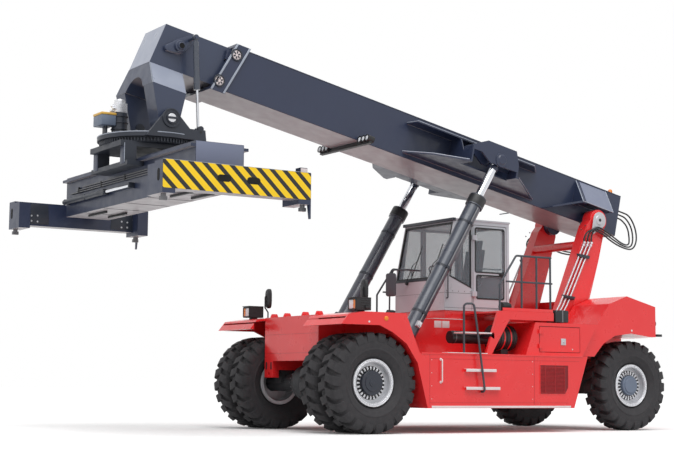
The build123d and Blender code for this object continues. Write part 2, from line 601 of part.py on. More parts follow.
def cab_console():
    """Dashboard, steering column and wheel."""
    dash = slab_y([(CAB_FRONT_X - CAB_WALL, 2150), (CAB_FRONT_X - CAB_WALL, 2600), (-2500, 2600), (-2560, 2520), (-2480, 2150)], -420, 420)
    column = bar((-2500, 0, 2560), (-2700, 0, 2790), 30)
    wheel = Plane(origin=(-2700, 0, 2790), z_dir=(-0.65, 0, 0.76)).location * Torus(190, 16)
    spoke = Plane(origin=(-2700, 0, 2790), z_dir=(-0.65, 0, 0.76)).location * Box(30, 380, 12)
    return dash + column + wheel + spoke


# ---------------------------------------------------------------- boom and cylinders

def base_boom():
    """Outer boom section: hollow box, slanting collar, outriggers and pivot housings."""
    low, high, half = BOOM_LOW, BOOM_HIGH, BOOM_HALF_WIDTH
    lean = COLLAR_LEAN
    tube_outline = [(BOOM_REAR, low), (COLLAR_REAR + 130, low), (COLLAR_REAR + 130 + lean, high), (BOOM_REAR, high)]
    outer = slab_y(tube_outline, -half, half)
    collar_outline = [(COLLAR_REAR, low - 50), (COLLAR_REAR + COLLAR_LENGTH, low - 50),
                      (COLLAR_REAR + COLLAR_LENGTH + lean, high + 40), (COLLAR_REAR + lean, high + 40)]
    outer += slab_y(collar_outline, -half - 30, half + 30)
    bore = block((BOOM_REAR + 60, COLLAR_REAR + COLLAR_LENGTH + 50), (-half + BOOM_WALL, half - BOOM_WALL),
                 (low + BOOM_WALL, high - BOOM_WALL))
    outer -= bore
    outer += slide_pads()
    outer += both_sides(outrigger())
    outer += both_sides(pivot_housing())
    return BOOM_PLACE * outer


def slide_pads():
    """Wear pads inside the collar that guide the inner section."""
    gap = FACE_GAP
    x = (COLLAR_REAR - 60, COLLAR_REAR + 100)
    pads = None
    side = (INNER_HALF_WIDTH + gap, BOOM_HALF_WIDTH - BOOM_WALL + 2)
    for z in ((60, 220), (480, 640)):
        pad = both_sides(block(x, side, z))
        pads = pad if pads is None else pads + pad
    for z in ((BOOM_LOW + BOOM_WALL - 2, INNER_LOW - gap), (INNER_HIGH + gap, BOOM_HIGH - BOOM_WALL + 2)):
        pads += both_sides(block((x[0] - 250, x[1] - 250), (120, 320), z))
    return pads


def outrigger():
    """Wing on the side of the boom with the plates that take the lift cylinder's rod."""
    eye_along, eye_square = LIFT_EYE
    half_gap = LIFT_EYE_WIDTH / 2 + 12
    top = slab_z([(4400, 460), (4360, 770), (1680, 770), (1400, 460)], 545, 570)
    rear, front = eye_along - 400, eye_along + 650
    slot = LIFT_Y - LIFT_BARREL_RADIUS * LIFT_MOUTH_RATIO - 10
    low = slab_z([(4400, 460), (4050, 950), (front + 40, LIFT_Y + 140), (front, LIFT_Y + 140),
                  (front, slot), (rear, slot), (rear, LIFT_Y + 140),
                  (rear - 40, LIFT_Y + 140), (1370, 460)], 20, 50)
    roof_low, roof_high = 475, 500
    mouth = [(eye_along + 440, 262), (eye_along + 240, 130)]   # clear of the barrel's head with the boom level
    cheek = [(rear, 130), (rear, 250), (rear + 100, roof_high), (front - 300, roof_high),
             (front, 340), (front, 262), *mouth]
    wing = top + low
    wing += slab_y(cheek, LIFT_Y - half_gap - 40, LIFT_Y - half_gap)
    wing += slab_y(cheek, LIFT_Y + half_gap, LIFT_Y + half_gap + 40)
    across = (LIFT_Y - half_gap - 40, LIFT_Y + half_gap + 40)
    wing += block((rear, rear + 30), across, (20, 250)) + block((front - 30, front), across, (20, 270))
    wing += block((rear + 100, front - 300), across, (roof_low, roof_high))
    for x in (2300, 3400):
        wing += slab_x([(460, 40), (LIFT_Y - half_gap - 10, 40), (770, 555), (460, 555)], x - 12, x + 12)
    return wing


def pivot_housing():
    """Side housing over the tower head with the pivot pin."""
    half = BOOM_HALF_WIDTH
    wedge = slab_x([(half - 5, 705), (half - 5, 262), (780, 262)], -360, 420)
    nose = slab_y([(330, 275), (420, 275), (1120, -40), (1120, -60), (420, 235), (330, 235)], half - 5, 780)
    pin = drum_y(PIVOT_PIN_RADIUS, half - 10, TOWER_OUTER_Y + 10, 0, 0)
    hub = drum_y(170, half - 5, TOWER_INNER_Y - 8, 0, 0)
    return wedge + nose + pin + hub


def boom_lamps():
    """Lamp bar under the boom with three round lamps at each end."""
    lamps = block((5230, 5290), (-800, 800), (BOOM_LOW - 75, BOOM_LOW - FACE_GAP))
    for y in (535, 650, 765):
        lamps += both_sides(drum_x(55, 5200, 5330, y, BOOM_LOW + 10))
    return BOOM_PLACE * lamps


def inner_boom():
    """Inner boom section with the welded head and its two legs."""
    section = block((INNER_REAR, HEAD_REAR + 20), (-INNER_HALF_WIDTH, INNER_HALF_WIDTH), (INNER_LOW, INNER_HIGH))
    section -= block((INNER_REAR - 5, HEAD_REAR - 20), (-INNER_HALF_WIDTH + INNER_WALL, INNER_HALF_WIDTH - INNER_WALL),
                     (INNER_LOW + INNER_WALL, INNER_HIGH - INNER_WALL))
    head = slab_y([(HEAD_REAR, INNER_LOW), (HEAD_REAR, INNER_HIGH), (9205, INNER_HIGH), (HEAD_FRONT, 0)],
                  -INNER_HALF_WIDTH, INNER_HALF_WIDTH)
    pin_along, pin_square = HEAD_PIN
    flare = slab_x([(-INNER_HALF_WIDTH, 0), (-LEG_OUTER_Y, -400), (LEG_OUTER_Y, -400), (INNER_HALF_WIDTH, 0)],
                   HEAD_REAR, HEAD_FRONT)
    leg = slab_y([(HEAD_REAR, -395), (HEAD_FRONT, -395), (pin_along + 170, pin_square - 40),
                  (pin_along - 190, pin_square - 40)], LEG_INNER_Y, LEG_OUTER_Y)
    leg += drum_y(175, LEG_INNER_Y, LEG_OUTER_Y, pin_along, pin_square)
    leg -= drum_y(HEAD_PIN_RADIUS + PIN_GAP, LEG_INNER_Y - 5, LEG_OUTER_Y + 5, pin_along, pin_square)
    boom = section + head + flare + both_sides(leg)
    boom -= drum_x(LEG_INNER_Y, HEAD_REAR - 5, HEAD_FRONT + 5, 0, -560)
    boom -= block((HEAD_REAR - 5, HEAD_FRONT + 5), (-LEG_INNER_Y, LEG_INNER_Y), (-1100, -560))
    top_along, top_square = DAMPER_TOP
    boom += both_sides(drum_y(30, INNER_HALF_WIDTH - 5, DAMPER_Y + 50, top_along, top_square))
    return BOOM_PLACE * boom


def cylinder(foot, eye, y, barrel, rod, foot_size, eye_radius, width):
    """Barrel and rod of one cylinder between two pins, in the plane at y.

    barrel is (radius, length from the foot pin), rod is (radius, length hidden in the barrel,
    how much further in it goes) and foot_size is (radius, pin radius).
    """
    (x0, z0), (x1, z1) = foot, eye
    ux, uz = x1 - x0, z1 - z0
    length = hypot(ux, uz)
    ux, uz = ux / length, uz / length

    def point(s):
        return (x0 + ux * s, y, z0 + uz * s)

    foot_radius, foot_pin = foot_size
    barrel_radius, barrel_length = barrel
    rod_radius, rod_tail, retraction = rod
    shoulder = foot_radius * 1.5
    tube = bar(point(shoulder), point(barrel_length), barrel_radius)
    tube += bar(point(foot_radius * 0.6), point(shoulder + 5), width / 2)
    tube += bar(point(barrel_length - 200), point(barrel_length), barrel_radius * LIFT_MOUTH_RATIO)
    tube += drum_y(foot_radius, y - width / 2, y + width / 2, x0, z0)
    bore_depth = rod_tail + retraction + 20
    tube -= bar(point(barrel_length - bore_depth), point(barrel_length + 5), rod_radius + ROD_GAP)
    tube -= drum_y(foot_pin + PIN_GAP, y - width, y + width, x0, z0)
    ram = bar(point(barrel_length - rod_tail), point(length - eye_radius * 0.5), rod_radius)
    ram += drum_y(eye_radius, y - width / 2, y + width / 2, x1, z1)
    return tube, ram


def lift_cylinder(sign):
    """Lift cylinder beside the cab, from the chassis to the outrigger."""
    tube, ram = cylinder(LIFT_BASE, (LIFT_EYE_X, LIFT_EYE_Z), LIFT_Y,
                         (LIFT_BARREL_RADIUS, LIFT_BARREL_LENGTH),
                         (LIFT_ROD_RADIUS, LIFT_ROD_TAIL, LIFT_RETRACTION),
                         (LIFT_FOOT_RADIUS, LIFT_PIN_RADIUS), LIFT_EYE_RADIUS, LIFT_EYE_WIDTH)
    return on_side(tube, sign), on_side(ram, sign)


def damper_cylinder(sign):
    """Damper that keeps the yoke from swinging."""
    tube, ram = cylinder((DAMPER_TOP_X, DAMPER_TOP_Z), DAMPER_FOOT, DAMPER_Y,
                         (DAMPER_BARREL_RADIUS, DAMPER_BARREL_LENGTH),
                         (DAMPER_ROD_RADIUS, DAMPER_ROD_TAIL, DAMPER_RETRACTION),
                         (48, 30), 48, 60)
    return on_side(tube, sign), on_side(ram, sign)


# ---------------------------------------------------------------- yoke and spreader

def yoke():
    """Yoke that hangs from the head pins, with the upper plate of the slewing ring."""
    low, high = YOKE_PLATE_Z
    plate = drum_z(RING_RADIUS, low, high, SLEW_X, 0)
    ear = [(SLEW_X + 420, low), (SLEW_X + 130, HEAD_PIN_Z + 60), (SLEW_X + 60, HEAD_PIN_Z + 145),
           (SLEW_X - 60, HEAD_PIN_Z + 145), (SLEW_X - 140, HEAD_PIN_Z + 60), (SLEW_X - 330, high + 90),
           (SLEW_X - 600, high + 90), (SLEW_X - 620, low)]
    ears = slab_y(ear, EAR_INNER_Y, EAR_OUTER_Y)
    pin = drum_y(HEAD_PIN_RADIUS, LEG_INNER_Y - 20, EAR_OUTER_Y + 30, SLEW_X, HEAD_PIN_Z)
    foot_x, foot_z = DAMPER_FOOT
    ears += block((foot_x - 70, foot_x + 300), (DAMPER_Y - 60, EAR_INNER_Y + 5), (low, high))
    ears += drum_y(48, DAMPER_Y + 35, EAR_INNER_Y + 5, foot_x, foot_z)
    return plate + both_sides(ears + pin)


def slew_motors():
    """Slewing motor standing on the front of the yoke plate, and the oil swivel in its middle."""
    motor = drum_z(125, YOKE_PLATE_Z[1], 5080, SLEW_X + 440, -200) + drum_z(85, 5070, 5300, SLEW_X + 440, -200)
    swivel = drum_z(160, YOKE_PLATE_Z[1], 4780, SLEW_X, 0)
    return motor, swivel


def rotator_frame():
    """Turning frame under the ring, which carries the spreader on its slides."""
    frame = drum_z(RING_RADIUS - 60, RING_LOW_Z, RING_TOP_Z, SLEW_X, 0)
    frame += block((SLEW_X - 760, SLEW_X + 760), (-600, 600), (RING_LOW_Z - 80, RING_LOW_Z + 5))
    for side in (1, -1):
        for y in (-520, 520):
            x0 = SLEW_X + side * (FRAME_HALF_WIDTH + 90)
            frame += block(sorted((x0, x0 + side * 200)), (y - 80, y + 80), (RAIL_LOW_Z - 20, RING_LOW_Z))
        shoe = sorted((SLEW_X + side * (FRAME_HALF_WIDTH + 12), SLEW_X + side * (FRAME_HALF_WIDTH + 290)))
        frame += block(shoe, (-700, 700), (RAIL_LOW_Z - FACE_GAP - 70, RAIL_LOW_Z - FACE_GAP))
    return frame


def spreader_frame():
    """Main beam box of the spreader with its slide rails."""
    frame = block((SLEW_X - FRAME_HALF_WIDTH, SLEW_X + FRAME_HALF_WIDTH), (-FRAME_HALF_LENGTH, FRAME_HALF_LENGTH),
                  (FRAME_LOW_Z, FRAME_TOP_Z))
    frame += block((SLEW_X - FRAME_HALF_WIDTH - RAIL_WIDTH, SLEW_X + FRAME_HALF_WIDTH + RAIL_WIDTH),
                   (-FRAME_HALF_LENGTH, FRAME_HALF_LENGTH), (RAIL_LOW_Z, RAIL_LOW_Z + 45))
    for side in (1, -1):
        x0 = SLEW_X + side * BEAM_CENTRE_X
        frame -= block((x0 - BEAM_HALF_WIDTH - 8, x0 + BEAM_HALF_WIDTH + 8),
                       (-FRAME_HALF_LENGTH - 5, FRAME_HALF_LENGTH + 5), (BEAM_LOW_Z - FACE_GAP, BEAM_TOP_Z + 8))
    return frame


def spreader_end(sign):
    """Telescopic beam with its cross beam, corner boxes and guide flaps."""
    x0 = SLEW_X + sign * BEAM_CENTRE_X
    end = block((x0 - BEAM_HALF_WIDTH, x0 + BEAM_HALF_WIDTH), (-1900, END_BEAM_INNER_Y + 20), (BEAM_LOW_Z, BEAM_TOP_Z))
    end += block((SLEW_X - END_BEAM_HALF_LENGTH, SLEW_X + END_BEAM_HALF_LENGTH),
                 (END_BEAM_INNER_Y, END_BEAM_OUTER_Y), (END_BEAM_LOW_Z, END_BEAM_TOP_Z))
    for side in (1, -1):
        lock_x = SLEW_X + side * TWISTLOCK_X
        box_x = sorted((SLEW_X + side * END_BEAM_HALF_LENGTH, SLEW_X + side * (END_BEAM_HALF_LENGTH - 200)))
        end += block(box_x, (CORNER_BOX_INNER_Y, END_BEAM_OUTER_Y), (LOCK_HOUSING_LOW_Z, END_BEAM_TOP_Z - 30))
        end -= drum_z(LOCK_SHANK_RADIUS + PIN_GAP, LOCK_HOUSING_LOW_Z - 5, LOCK_HOUSING_LOW_Z + 100, lock_x,
                      TWISTLOCK_Y)
    flap_x = SLEW_X - END_BEAM_HALF_LENGTH
    end += slab_x([(END_BEAM_OUTER_Y - 120, 3600), (END_BEAM_OUTER_Y, 3600), (END_BEAM_OUTER_Y, 3190),
                   (END_BEAM_OUTER_Y - 40, 3190)], flap_x, flap_x + 20)
    end += block((flap_x + 30, flap_x + 150), (END_BEAM_OUTER_Y - 200, END_BEAM_OUTER_Y - 60),
                 (END_BEAM_TOP_Z - 5, END_BEAM_TOP_Z + 80))
    return on_side(end, sign)


def twistlock(sign, side):
    """One container lock: a round shank with its pointed head."""
    x = SLEW_X + side * TWISTLOCK_X
    lock = drum_z(LOCK_SHANK_RADIUS, TWISTLOCK_TIP_Z + 50, LOCK_HOUSING_LOW_Z + 95, x, TWISTLOCK_Y)
    lock += block((x - 50, x + 50), (TWISTLOCK_Y - 30, TWISTLOCK_Y + 30), (TWISTLOCK_TIP_Z, TWISTLOCK_TIP_Z + 55))
    return on_side(lock, sign)


# ---------------------------------------------------------------- writing the pieces

def save(name, shape):
    """Write one piece as its own file, moved to the common origin."""
    solids = []
    for piece in shape if isinstance(shape, (list, tuple)) else [shape]:
        solids.extend(piece.solids())
    placed = [Pos(-ORIGIN_X, 0, 0) * solid for solid in solids]
    body = placed[0] if len(placed) == 1 else Compound(placed)
    export_step(body, os.path.join("parts", name + ".step"))


def main():
    os.makedirs("parts", exist_ok=True)
    single = {
        "chassis_frame": chassis_frame, "boom_tower": boom_tower, "counterweight": counterweight,
        "engine_block": engine_block, "front_axle": front_axle, "rear_axle": rear_axle,
        "air_cleaner": air_cleaner, "front_lamps": front_lamps, "mirrors": mirrors,
        "cab_shell": cab_shell, "cab_glass": cab_glass, "cab_door": cab_door,
        "cab_door_glass": cab_door_glass, "cab_seat": cab_seat, "cab_console": cab_console,
        "base_boom": base_boom, "boom_lamps": boom_lamps, "inner_boom": inner_boom,
        "yoke": yoke, "slew_motors": slew_motors, "rotator_frame": rotator_frame,
        "spreader_frame": spreader_frame,
    }
    for name, build in single.items():
        save(name, build())
    for side, sign in SIDES:
        handed = {
            "side_body": side_body, "engine_cover": engine_cover, "engine_door": engine_door,
            "access_deck": access_deck, "guard_rail": guard_rail, "knuckle": knuckle,
            "spreader_end": spreader_end,
        }
        for name, build in handed.items():
            save(f"{name}_{side}", build(sign))
        for end, step in (("front", 1), ("rear", -1)):
            save(f"twistlock_{end}_{side}", twistlock(sign, step))
        tyres, rims = front_wheel_parts(sign)
        save(f"front_tyres_{side}", tyres)
        save(f"front_rims_{side}", rims)
        tyres, rims = rear_wheel_parts(sign)
        save(f"rear_tyre_{side}", tyres)
        save(f"rear_rim_{side}", rims)
        tube, ram = lift_cylinder(sign)
        save(f"lift_barrel_{side}", tube)
        save(f"lift_rod_{side}", ram)
        tube, ram = damper_cylinder(sign)
        save(f"damper_barrel_{side}", tube)
        save(f"damper_rod_{side}", ram)


main()
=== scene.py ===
"""Finishes, trim and stage of a container reach stacker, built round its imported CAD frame.

Places are written in metres from the ground under the front axle, X forward, Y to the driver's
left and Z up, or along and square to the boom; both are turned into the row frame by a Layout.
A star in the name of a piece or of a body stands for the word left or right.
"""

import json
import logging
import math
from dataclasses import dataclass, field
from enum import Enum
from typing import Any, Callable, Iterable, Sequence

import bmesh
import bpy
from mathutils import Matrix, Vector

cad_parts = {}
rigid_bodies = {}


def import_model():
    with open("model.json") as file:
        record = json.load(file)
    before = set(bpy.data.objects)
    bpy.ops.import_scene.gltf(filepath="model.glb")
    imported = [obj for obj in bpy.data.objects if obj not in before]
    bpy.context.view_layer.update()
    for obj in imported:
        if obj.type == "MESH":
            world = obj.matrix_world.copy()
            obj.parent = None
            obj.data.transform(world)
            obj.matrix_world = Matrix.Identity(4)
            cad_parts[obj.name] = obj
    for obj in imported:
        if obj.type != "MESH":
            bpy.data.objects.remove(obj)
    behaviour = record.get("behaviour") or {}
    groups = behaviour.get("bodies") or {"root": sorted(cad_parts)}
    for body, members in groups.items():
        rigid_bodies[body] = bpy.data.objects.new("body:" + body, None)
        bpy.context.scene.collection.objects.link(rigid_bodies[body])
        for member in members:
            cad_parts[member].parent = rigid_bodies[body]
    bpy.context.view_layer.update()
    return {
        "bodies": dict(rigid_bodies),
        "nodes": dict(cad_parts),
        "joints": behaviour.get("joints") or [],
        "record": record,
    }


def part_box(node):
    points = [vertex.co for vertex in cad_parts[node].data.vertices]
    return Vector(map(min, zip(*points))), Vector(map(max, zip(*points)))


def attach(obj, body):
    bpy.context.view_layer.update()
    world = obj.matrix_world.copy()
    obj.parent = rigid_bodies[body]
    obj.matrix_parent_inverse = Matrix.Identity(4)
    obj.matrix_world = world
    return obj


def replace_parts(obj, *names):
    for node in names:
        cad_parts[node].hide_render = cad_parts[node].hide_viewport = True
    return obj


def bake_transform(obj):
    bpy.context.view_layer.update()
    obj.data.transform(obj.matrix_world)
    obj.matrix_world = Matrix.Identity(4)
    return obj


LOG = logging.getLogger("reach_stacker")
Point = Sequence[float]
Outline = Sequence[Point]


class Axis(Enum):
    """Direction that an outline is pushed along or turned about; the value orders its axes."""

    X = (1, 2, 0)
    Y = (0, 2, 1)
    Z = (0, 1, 2)


class Side(Enum):
    """Hand of the machine, with the sign of its Y."""

    LEFT = 1
    RIGHT = -1

    @property
    def word(self) -> str:
        """Name used in node and body names."""
        return self.name.lower()


# ------------------------------------------------------------------ finishes

def linear(hex_colour: str) -> tuple[float, float, float, float]:
    """sRGB hex colour as linear RGBA.

    Args:
        hex_colour: six digits with a leading hash.

    Returns:
        The four linear channels, alpha 1.
    """
    channels = [int(hex_colour[i:i + 2], 16) / 255 for i in (1, 3, 5)]
    curve = [c / 12.92 if c <= 0.04045 else ((c + 0.055) / 1.055) ** 2.4 for c in channels]
    return (curve[0], curve[1], curve[2], 1.0)


def add_node(tree: bpy.types.NodeTree, kind: str, inputs: dict[Any, Any] | None = None,
             **settings: Any) -> bpy.types.Node:
    """Add a node with its settings, socket values and links.

    Args:
        tree: node tree that receives it.
        kind: Blender's type name of the node.
        inputs: socket name or index to a value, or to the output socket that feeds it.
        settings: attributes of the node.

    Returns:
        The new node.
    """
    node = tree.nodes.new(kind)
    for name, value in settings.items():
        setattr(node, name, value)
    for key, value in (inputs or {}).items():
        if isinstance(value, bpy.types.NodeSocket):
            tree.links.new(value, node.inputs[key])
        else:
            node.inputs[key].default_value = value
    return node


@dataclass(frozen=True)
class Finish:
    """Surface of one real material, or of painted light or shade on it, as a procedural shader on object coordinates.

    Fields are the sRGB colour and its second tone, the slot of the record that it usually fills,
    the gloss, the scale of the slow tone change and of the fine grain in millimetres, and the
    depth of that grain in millimetres.
    """

    name: str
    colour: str
    second: str
    slot: str
    roughness: float = 0.4
    spread: float = 0.08
    metallic: float = 0.0
    coat: float = 0.0
    patch_mm: float = 700.0
    grain_mm: float = 6.0
    grain_depth_mm: float = 0.05
    edge_mm: float = 5.0
    tone: float = 0.35
    alpha: float = 1.0

    def build(self) -> bpy.types.Material:
        """Make the material, or return the one that is there."""
        found = bpy.data.materials.get(self.name)
        if found:
            return found
        material = bpy.data.materials.new(self.name)
        material.use_nodes = True
        tree = material.node_tree
        shader = tree.nodes["Principled BSDF"]
        spot = add_node(tree, "ShaderNodeTexCoord").outputs["Object"]
        for name, output in (("Base Color", self.colour_output), ("Roughness", self.roughness_output),
                             ("Normal", self.normal_output)):
            tree.links.new(output(tree, spot), shader.inputs[name])
        for name, value in (("Metallic", self.metallic), ("Coat Weight", self.coat),
                            ("Coat Roughness", 0.08), ("Alpha", self.alpha)):
            shader.inputs[name].default_value = value
        return material

    def colour_output(self, tree: bpy.types.NodeTree, spot: bpy.types.NodeSocket) -> bpy.types.NodeSocket:
        """Two tones, mixed by slow cloudy noise."""
        noise = add_node(tree, "ShaderNodeTexNoise",
                         {"Vector": spot, "Scale": 1000 / self.patch_mm, "Detail": 6.0, "Roughness": 0.6})
        share = add_node(tree, "ShaderNodeMapRange",
                         {"Value": noise.outputs[0], "From Min": 0.35, "From Max": 0.75, "To Max": self.tone})
        mix = add_node(tree, "ShaderNodeMix", {0: share.outputs[0], 6: linear(self.colour),
                                               7: linear(self.second)}, data_type="RGBA")
        return mix.outputs[2]

    def roughness_output(self, tree: bpy.types.NodeTree, spot: bpy.types.NodeSocket) -> bpy.types.NodeSocket:
        """Gloss that drifts a little over the surface."""
        noise = add_node(tree, "ShaderNodeTexNoise",
                         {"Vector": spot, "Scale": 4000 / self.patch_mm, "Detail": 4.0})
        drift = add_node(tree, "ShaderNodeMapRange",
                         {"Value": noise.outputs[0], "From Min": 0.3, "From Max": 0.7,
                          "To Min": self.roughness - self.spread, "To Max": self.roughness + self.spread})
        return drift.outputs[0]

    def normal_output(self, tree: bpy.types.NodeTree, spot: bpy.types.NodeSocket) -> bpy.types.NodeSocket:
        """Fine grain over softly rounded edges."""
        soft = add_node(tree, "ShaderNodeBevel", {"Radius": self.edge_mm / 1000}, samples=4)
        grain = add_node(tree, "ShaderNodeTexNoise",
                         {"Vector": spot, "Scale": 1000 / self.grain_mm, "Detail": 3.0})
        bump = add_node(tree, "ShaderNodeBump",
                        {"Height": grain.outputs[0], "Distance": self.grain_depth_mm / 1000,
                         "Strength": 1.0, "Normal": soft.outputs[0]})
        return bump.outputs[0]


@dataclass(frozen=True)
class UndersideFinish(Finish):
    """Painted plate whose downward faces show another tone: painted bounce light from the floor on the undersides.

    That tone stays within a reach in metres from the machine's middle plane.
    """

    # Beige of the painted bounce light from the floor.
    under: str = "#8F888C"
    reach: float = 9.0

    def colour_output(self, tree: bpy.types.NodeTree, spot: bpy.types.NodeSocket) -> bpy.types.NodeSocket:
        """The paint's tones, with the beige of painted bounce light where the face looks down."""
        paint = super().colour_output(tree, spot)
        place = add_node(tree, "ShaderNodeTexCoord").outputs
        z = add_node(tree, "ShaderNodeSeparateXYZ", {0: place["Normal"]}).outputs["Z"]
        down = add_node(tree, "ShaderNodeMapRange", {"Value": z, "From Min": -0.8, "From Max": -0.95})
        across = add_node(tree, "ShaderNodeSeparateXYZ", {0: place["Object"]}).outputs["Y"]
        aside = add_node(tree, "ShaderNodeMath", {0: across}, operation="ABSOLUTE")
        near = add_node(tree, "ShaderNodeMath", {0: aside.outputs[0], 1: self.reach}, operation="LESS_THAN")
        share = add_node(tree, "ShaderNodeMath", {0: down.outputs[0], 1: near.outputs[0]}, operation="MULTIPLY")
        mix = add_node(tree, "ShaderNodeMix", {0: share.outputs[0], 6: paint, 7: linear(self.under)},
                       data_type="RGBA")
        return mix.outputs[2]


# Two-pack gloss enamel sprayed on welded plate: even colour, faint orange peel, clear highlights.
RED = Finish("gloss_enamel_red", "#EC2A2D", "#D81F25", "red_paint", roughness=0.32, coat=0.35, grain_mm=9)
DARK_RED = Finish("gloss_enamel_dark_red", "#B01A22", "#8C141B", "red_paint", patch_mm=200)
# Darker red behind the grille's slats: painted shade.
GRILLE = Finish("shaded_grille_red", "#7C1219", "#5E0D13", "red_paint", roughness=0.6, patch_mm=200)
# The same enamel in dark slate on the boom, satin, with painted bounce light from the floor in beige on its undersides.
SLATE = UndersideFinish("satin_enamel_slate", "#28314A", "#222A40", "boom_paint", roughness=0.42, coat=0.15)
SLATE_BOOM = UndersideFinish("satin_enamel_slate_boom", "#28314A", "#222A40", "boom_paint", roughness=0.42,
                             coat=0.15, reach=0.5)
SLATE_HEAD = UndersideFinish("satin_enamel_slate_head", "#363F56", "#2E374C", "boom_paint", coat=0.2)
SLATE_PLAIN = Finish("satin_enamel_slate_plain", "#28314A", "#222A40", "boom_paint", roughness=0.42, coat=0.15)
# The same paint, lightened as painted light: a painted reflection of the sky on steep facets, and painted light on the
# lighter plates of the spreader and of the boom's pivot housing.
SLATE_SKY_REFLECTION = Finish("satin_enamel_light_slate", "#9AA1B2", "#8A91A4", "boom_paint", roughness=0.35, coat=0.25)
SLATE_PAINTED_LIGHT = Finish("satin_enamel_pale_slate", "#747B92", "#666D84", "boom_paint", coat=0.2)
# Darker satin enamel of the yoke, slewing gear and rotator.
GRAPHITE = Finish("satin_enamel_graphite", "#282D38", "#20242C", "boom_paint", roughness=0.45)
CAB_GREY = Finish("gloss_enamel_light_grey", "#C4C7CE", "#B3B7C0", "cab_paint", roughness=0.35, coat=0.2)
YELLOW = Finish("signal_yellow_enamel", "#FFD51E", "#F5C400", "boom_paint", roughness=0.35)
SAND = Finish("sand_yellow_enamel", "#E6B85A", "#D2A044", "lamp_housing", roughness=0.45, patch_mm=120)
PALE = Finish("primer_off_white", "#E9DDDD", "#D6C6C8", "rail_paint", roughness=0.5, patch_mm=150)
RAIL = Finish("tube_enamel_dark_grey", "#3B3F47", "#2E3138", "rail_paint", patch_mm=200)
BARREL = Finish("cylinder_enamel", "#474D59", "#3A3F4A", "barrel_paint", roughness=0.3, coat=0.3)
# Wheel paint with fine aluminium flake, and the plain enamel of the rear hubs.
SILVER = Finish("aluminium_enamel", "#C3C4C8", "#A3A5AB", "rim_paint", roughness=0.38, metallic=0.35, patch_mm=120)
HUB_BLUE = Finish("hub_enamel_blue_grey", "#6C788B", "#5A6475", "rim_paint", roughness=0.45, patch_mm=200)
# Natural rubber with carbon black, moulded: dull, dusty in the grain.
RUBBER = Finish("tyre_rubber", "#2A292C", "#3B393B", "tyre", roughness=0.78, patch_mm=90, grain_mm=4,
                grain_depth_mm=0.4, tone=0.6, edge_mm=8)
HOSE = Finish("hose_rubber", "#1B1C20", "#25262B", "black_plastic", roughness=0.55, grain_mm=2, patch_mm=80)
# Moulded plastics with a fine leather grain.
BLACK = Finish("moulded_black_abs", "#17181B", "#222327", "black_plastic", roughness=0.5, grain_mm=2, patch_mm=150)
MIRROR_GREY = Finish("moulded_grey_abs", "#4A4B52", "#3E3F46", "black_plastic", roughness=0.45, grain_mm=2,
                     patch_mm=150)
# Painted shade inside a deep hole, laid on as a near-black sheet.
HOLLOW = Finish("shaded_hollow", "#08080A", "#0C0C0E", "black_plastic", roughness=0.95)
# Painted castings, coarse from the sand mould.
IRON = Finish("cast_iron_paint", "#26272A", "#333438", "engine_iron", roughness=0.6, grain_depth_mm=0.4)
# Bare metals: polished chrome, dull forgings, zinc-plated pipe, machined and lacquered aluminium.
CHROME = Finish("hard_chrome", "#D9DBE0", "#C8CBD2", "rod_chrome", roughness=0.12, spread=0.03, metallic=1.0)
STEEL = Finish("worn_forged_steel", "#77777A", "#4C4B4C", "lock_steel", roughness=0.5, metallic=0.8, patch_mm=60)
PIPE = Finish("zinc_plated_pipe", "#C9C2C6", "#ABA5AA", "rod_chrome", roughness=0.3, metallic=0.5, patch_mm=120)
BRIGHT = Finish("machined_aluminium", "#E3E4E8", "#C9CBD0", "lock_steel", roughness=0.3, metallic=0.55, patch_mm=60)
# Painted highlight along plate edges, where they catch the light.
EDGE = Finish("worn_plate_edge", "#A6ADBA", "#8E96A4", "boom_paint", metallic=0.2, patch_mm=90)
# Woven polyester over foam.
CLOTH = Finish("woven_seat_cloth", "#26272B", "#34353B", "seat_fabric", roughness=0.9, grain_mm=1.5,
               grain_depth_mm=0.3)
# Tinted glass, smooth, and ribbed polycarbonate lenses.
GLASS = Finish("tinted_safety_glass", "#8E99A2", "#7C8790", "window_glass", roughness=0.05, spread=0.02,
               alpha=0.32, grain_depth_mm=0.0)
LENS_WHITE = Finish("clear_lens", "#E8EAEE", "#CFD3DA", "lamp_housing", roughness=0.15, grain_mm=8,
                    grain_depth_mm=0.5)
LENS_RED = Finish("red_lens", "#B3171B", "#8E1014", "lamp_housing", roughness=0.2, grain_mm=8, grain_depth_mm=0.5)
LENS_AMBER = Finish("amber_lens", "#F08A1E", "#D86A10", "lamp_housing", roughness=0.2, grain_mm=8,
                    grain_depth_mm=0.5)

# Finish of the nodes in each slot of the record, where it is the finish's own slot or a shared one.
SLOT_FINISH = {finish.slot: finish for finish in (RED, IRON, CAB_GREY, GLASS, CLOTH, BLACK, RAIL, SLATE, RUBBER,
                                                  SILVER, BARREL, CHROME, STEEL)}
SLOT_FINISH |= {"axle_paint": IRON, "lamp_housing": BLACK}
# Nodes whose finish differs from that of their slot.
NODE_FINISH = {"base_boom": SLATE_BOOM, "inner_boom": SLATE_HEAD, "yoke": GRAPHITE, "rotator_frame": GRAPHITE,
               "slew_motors": GRAPHITE}


# ------------------------------------------------------------------ shaping

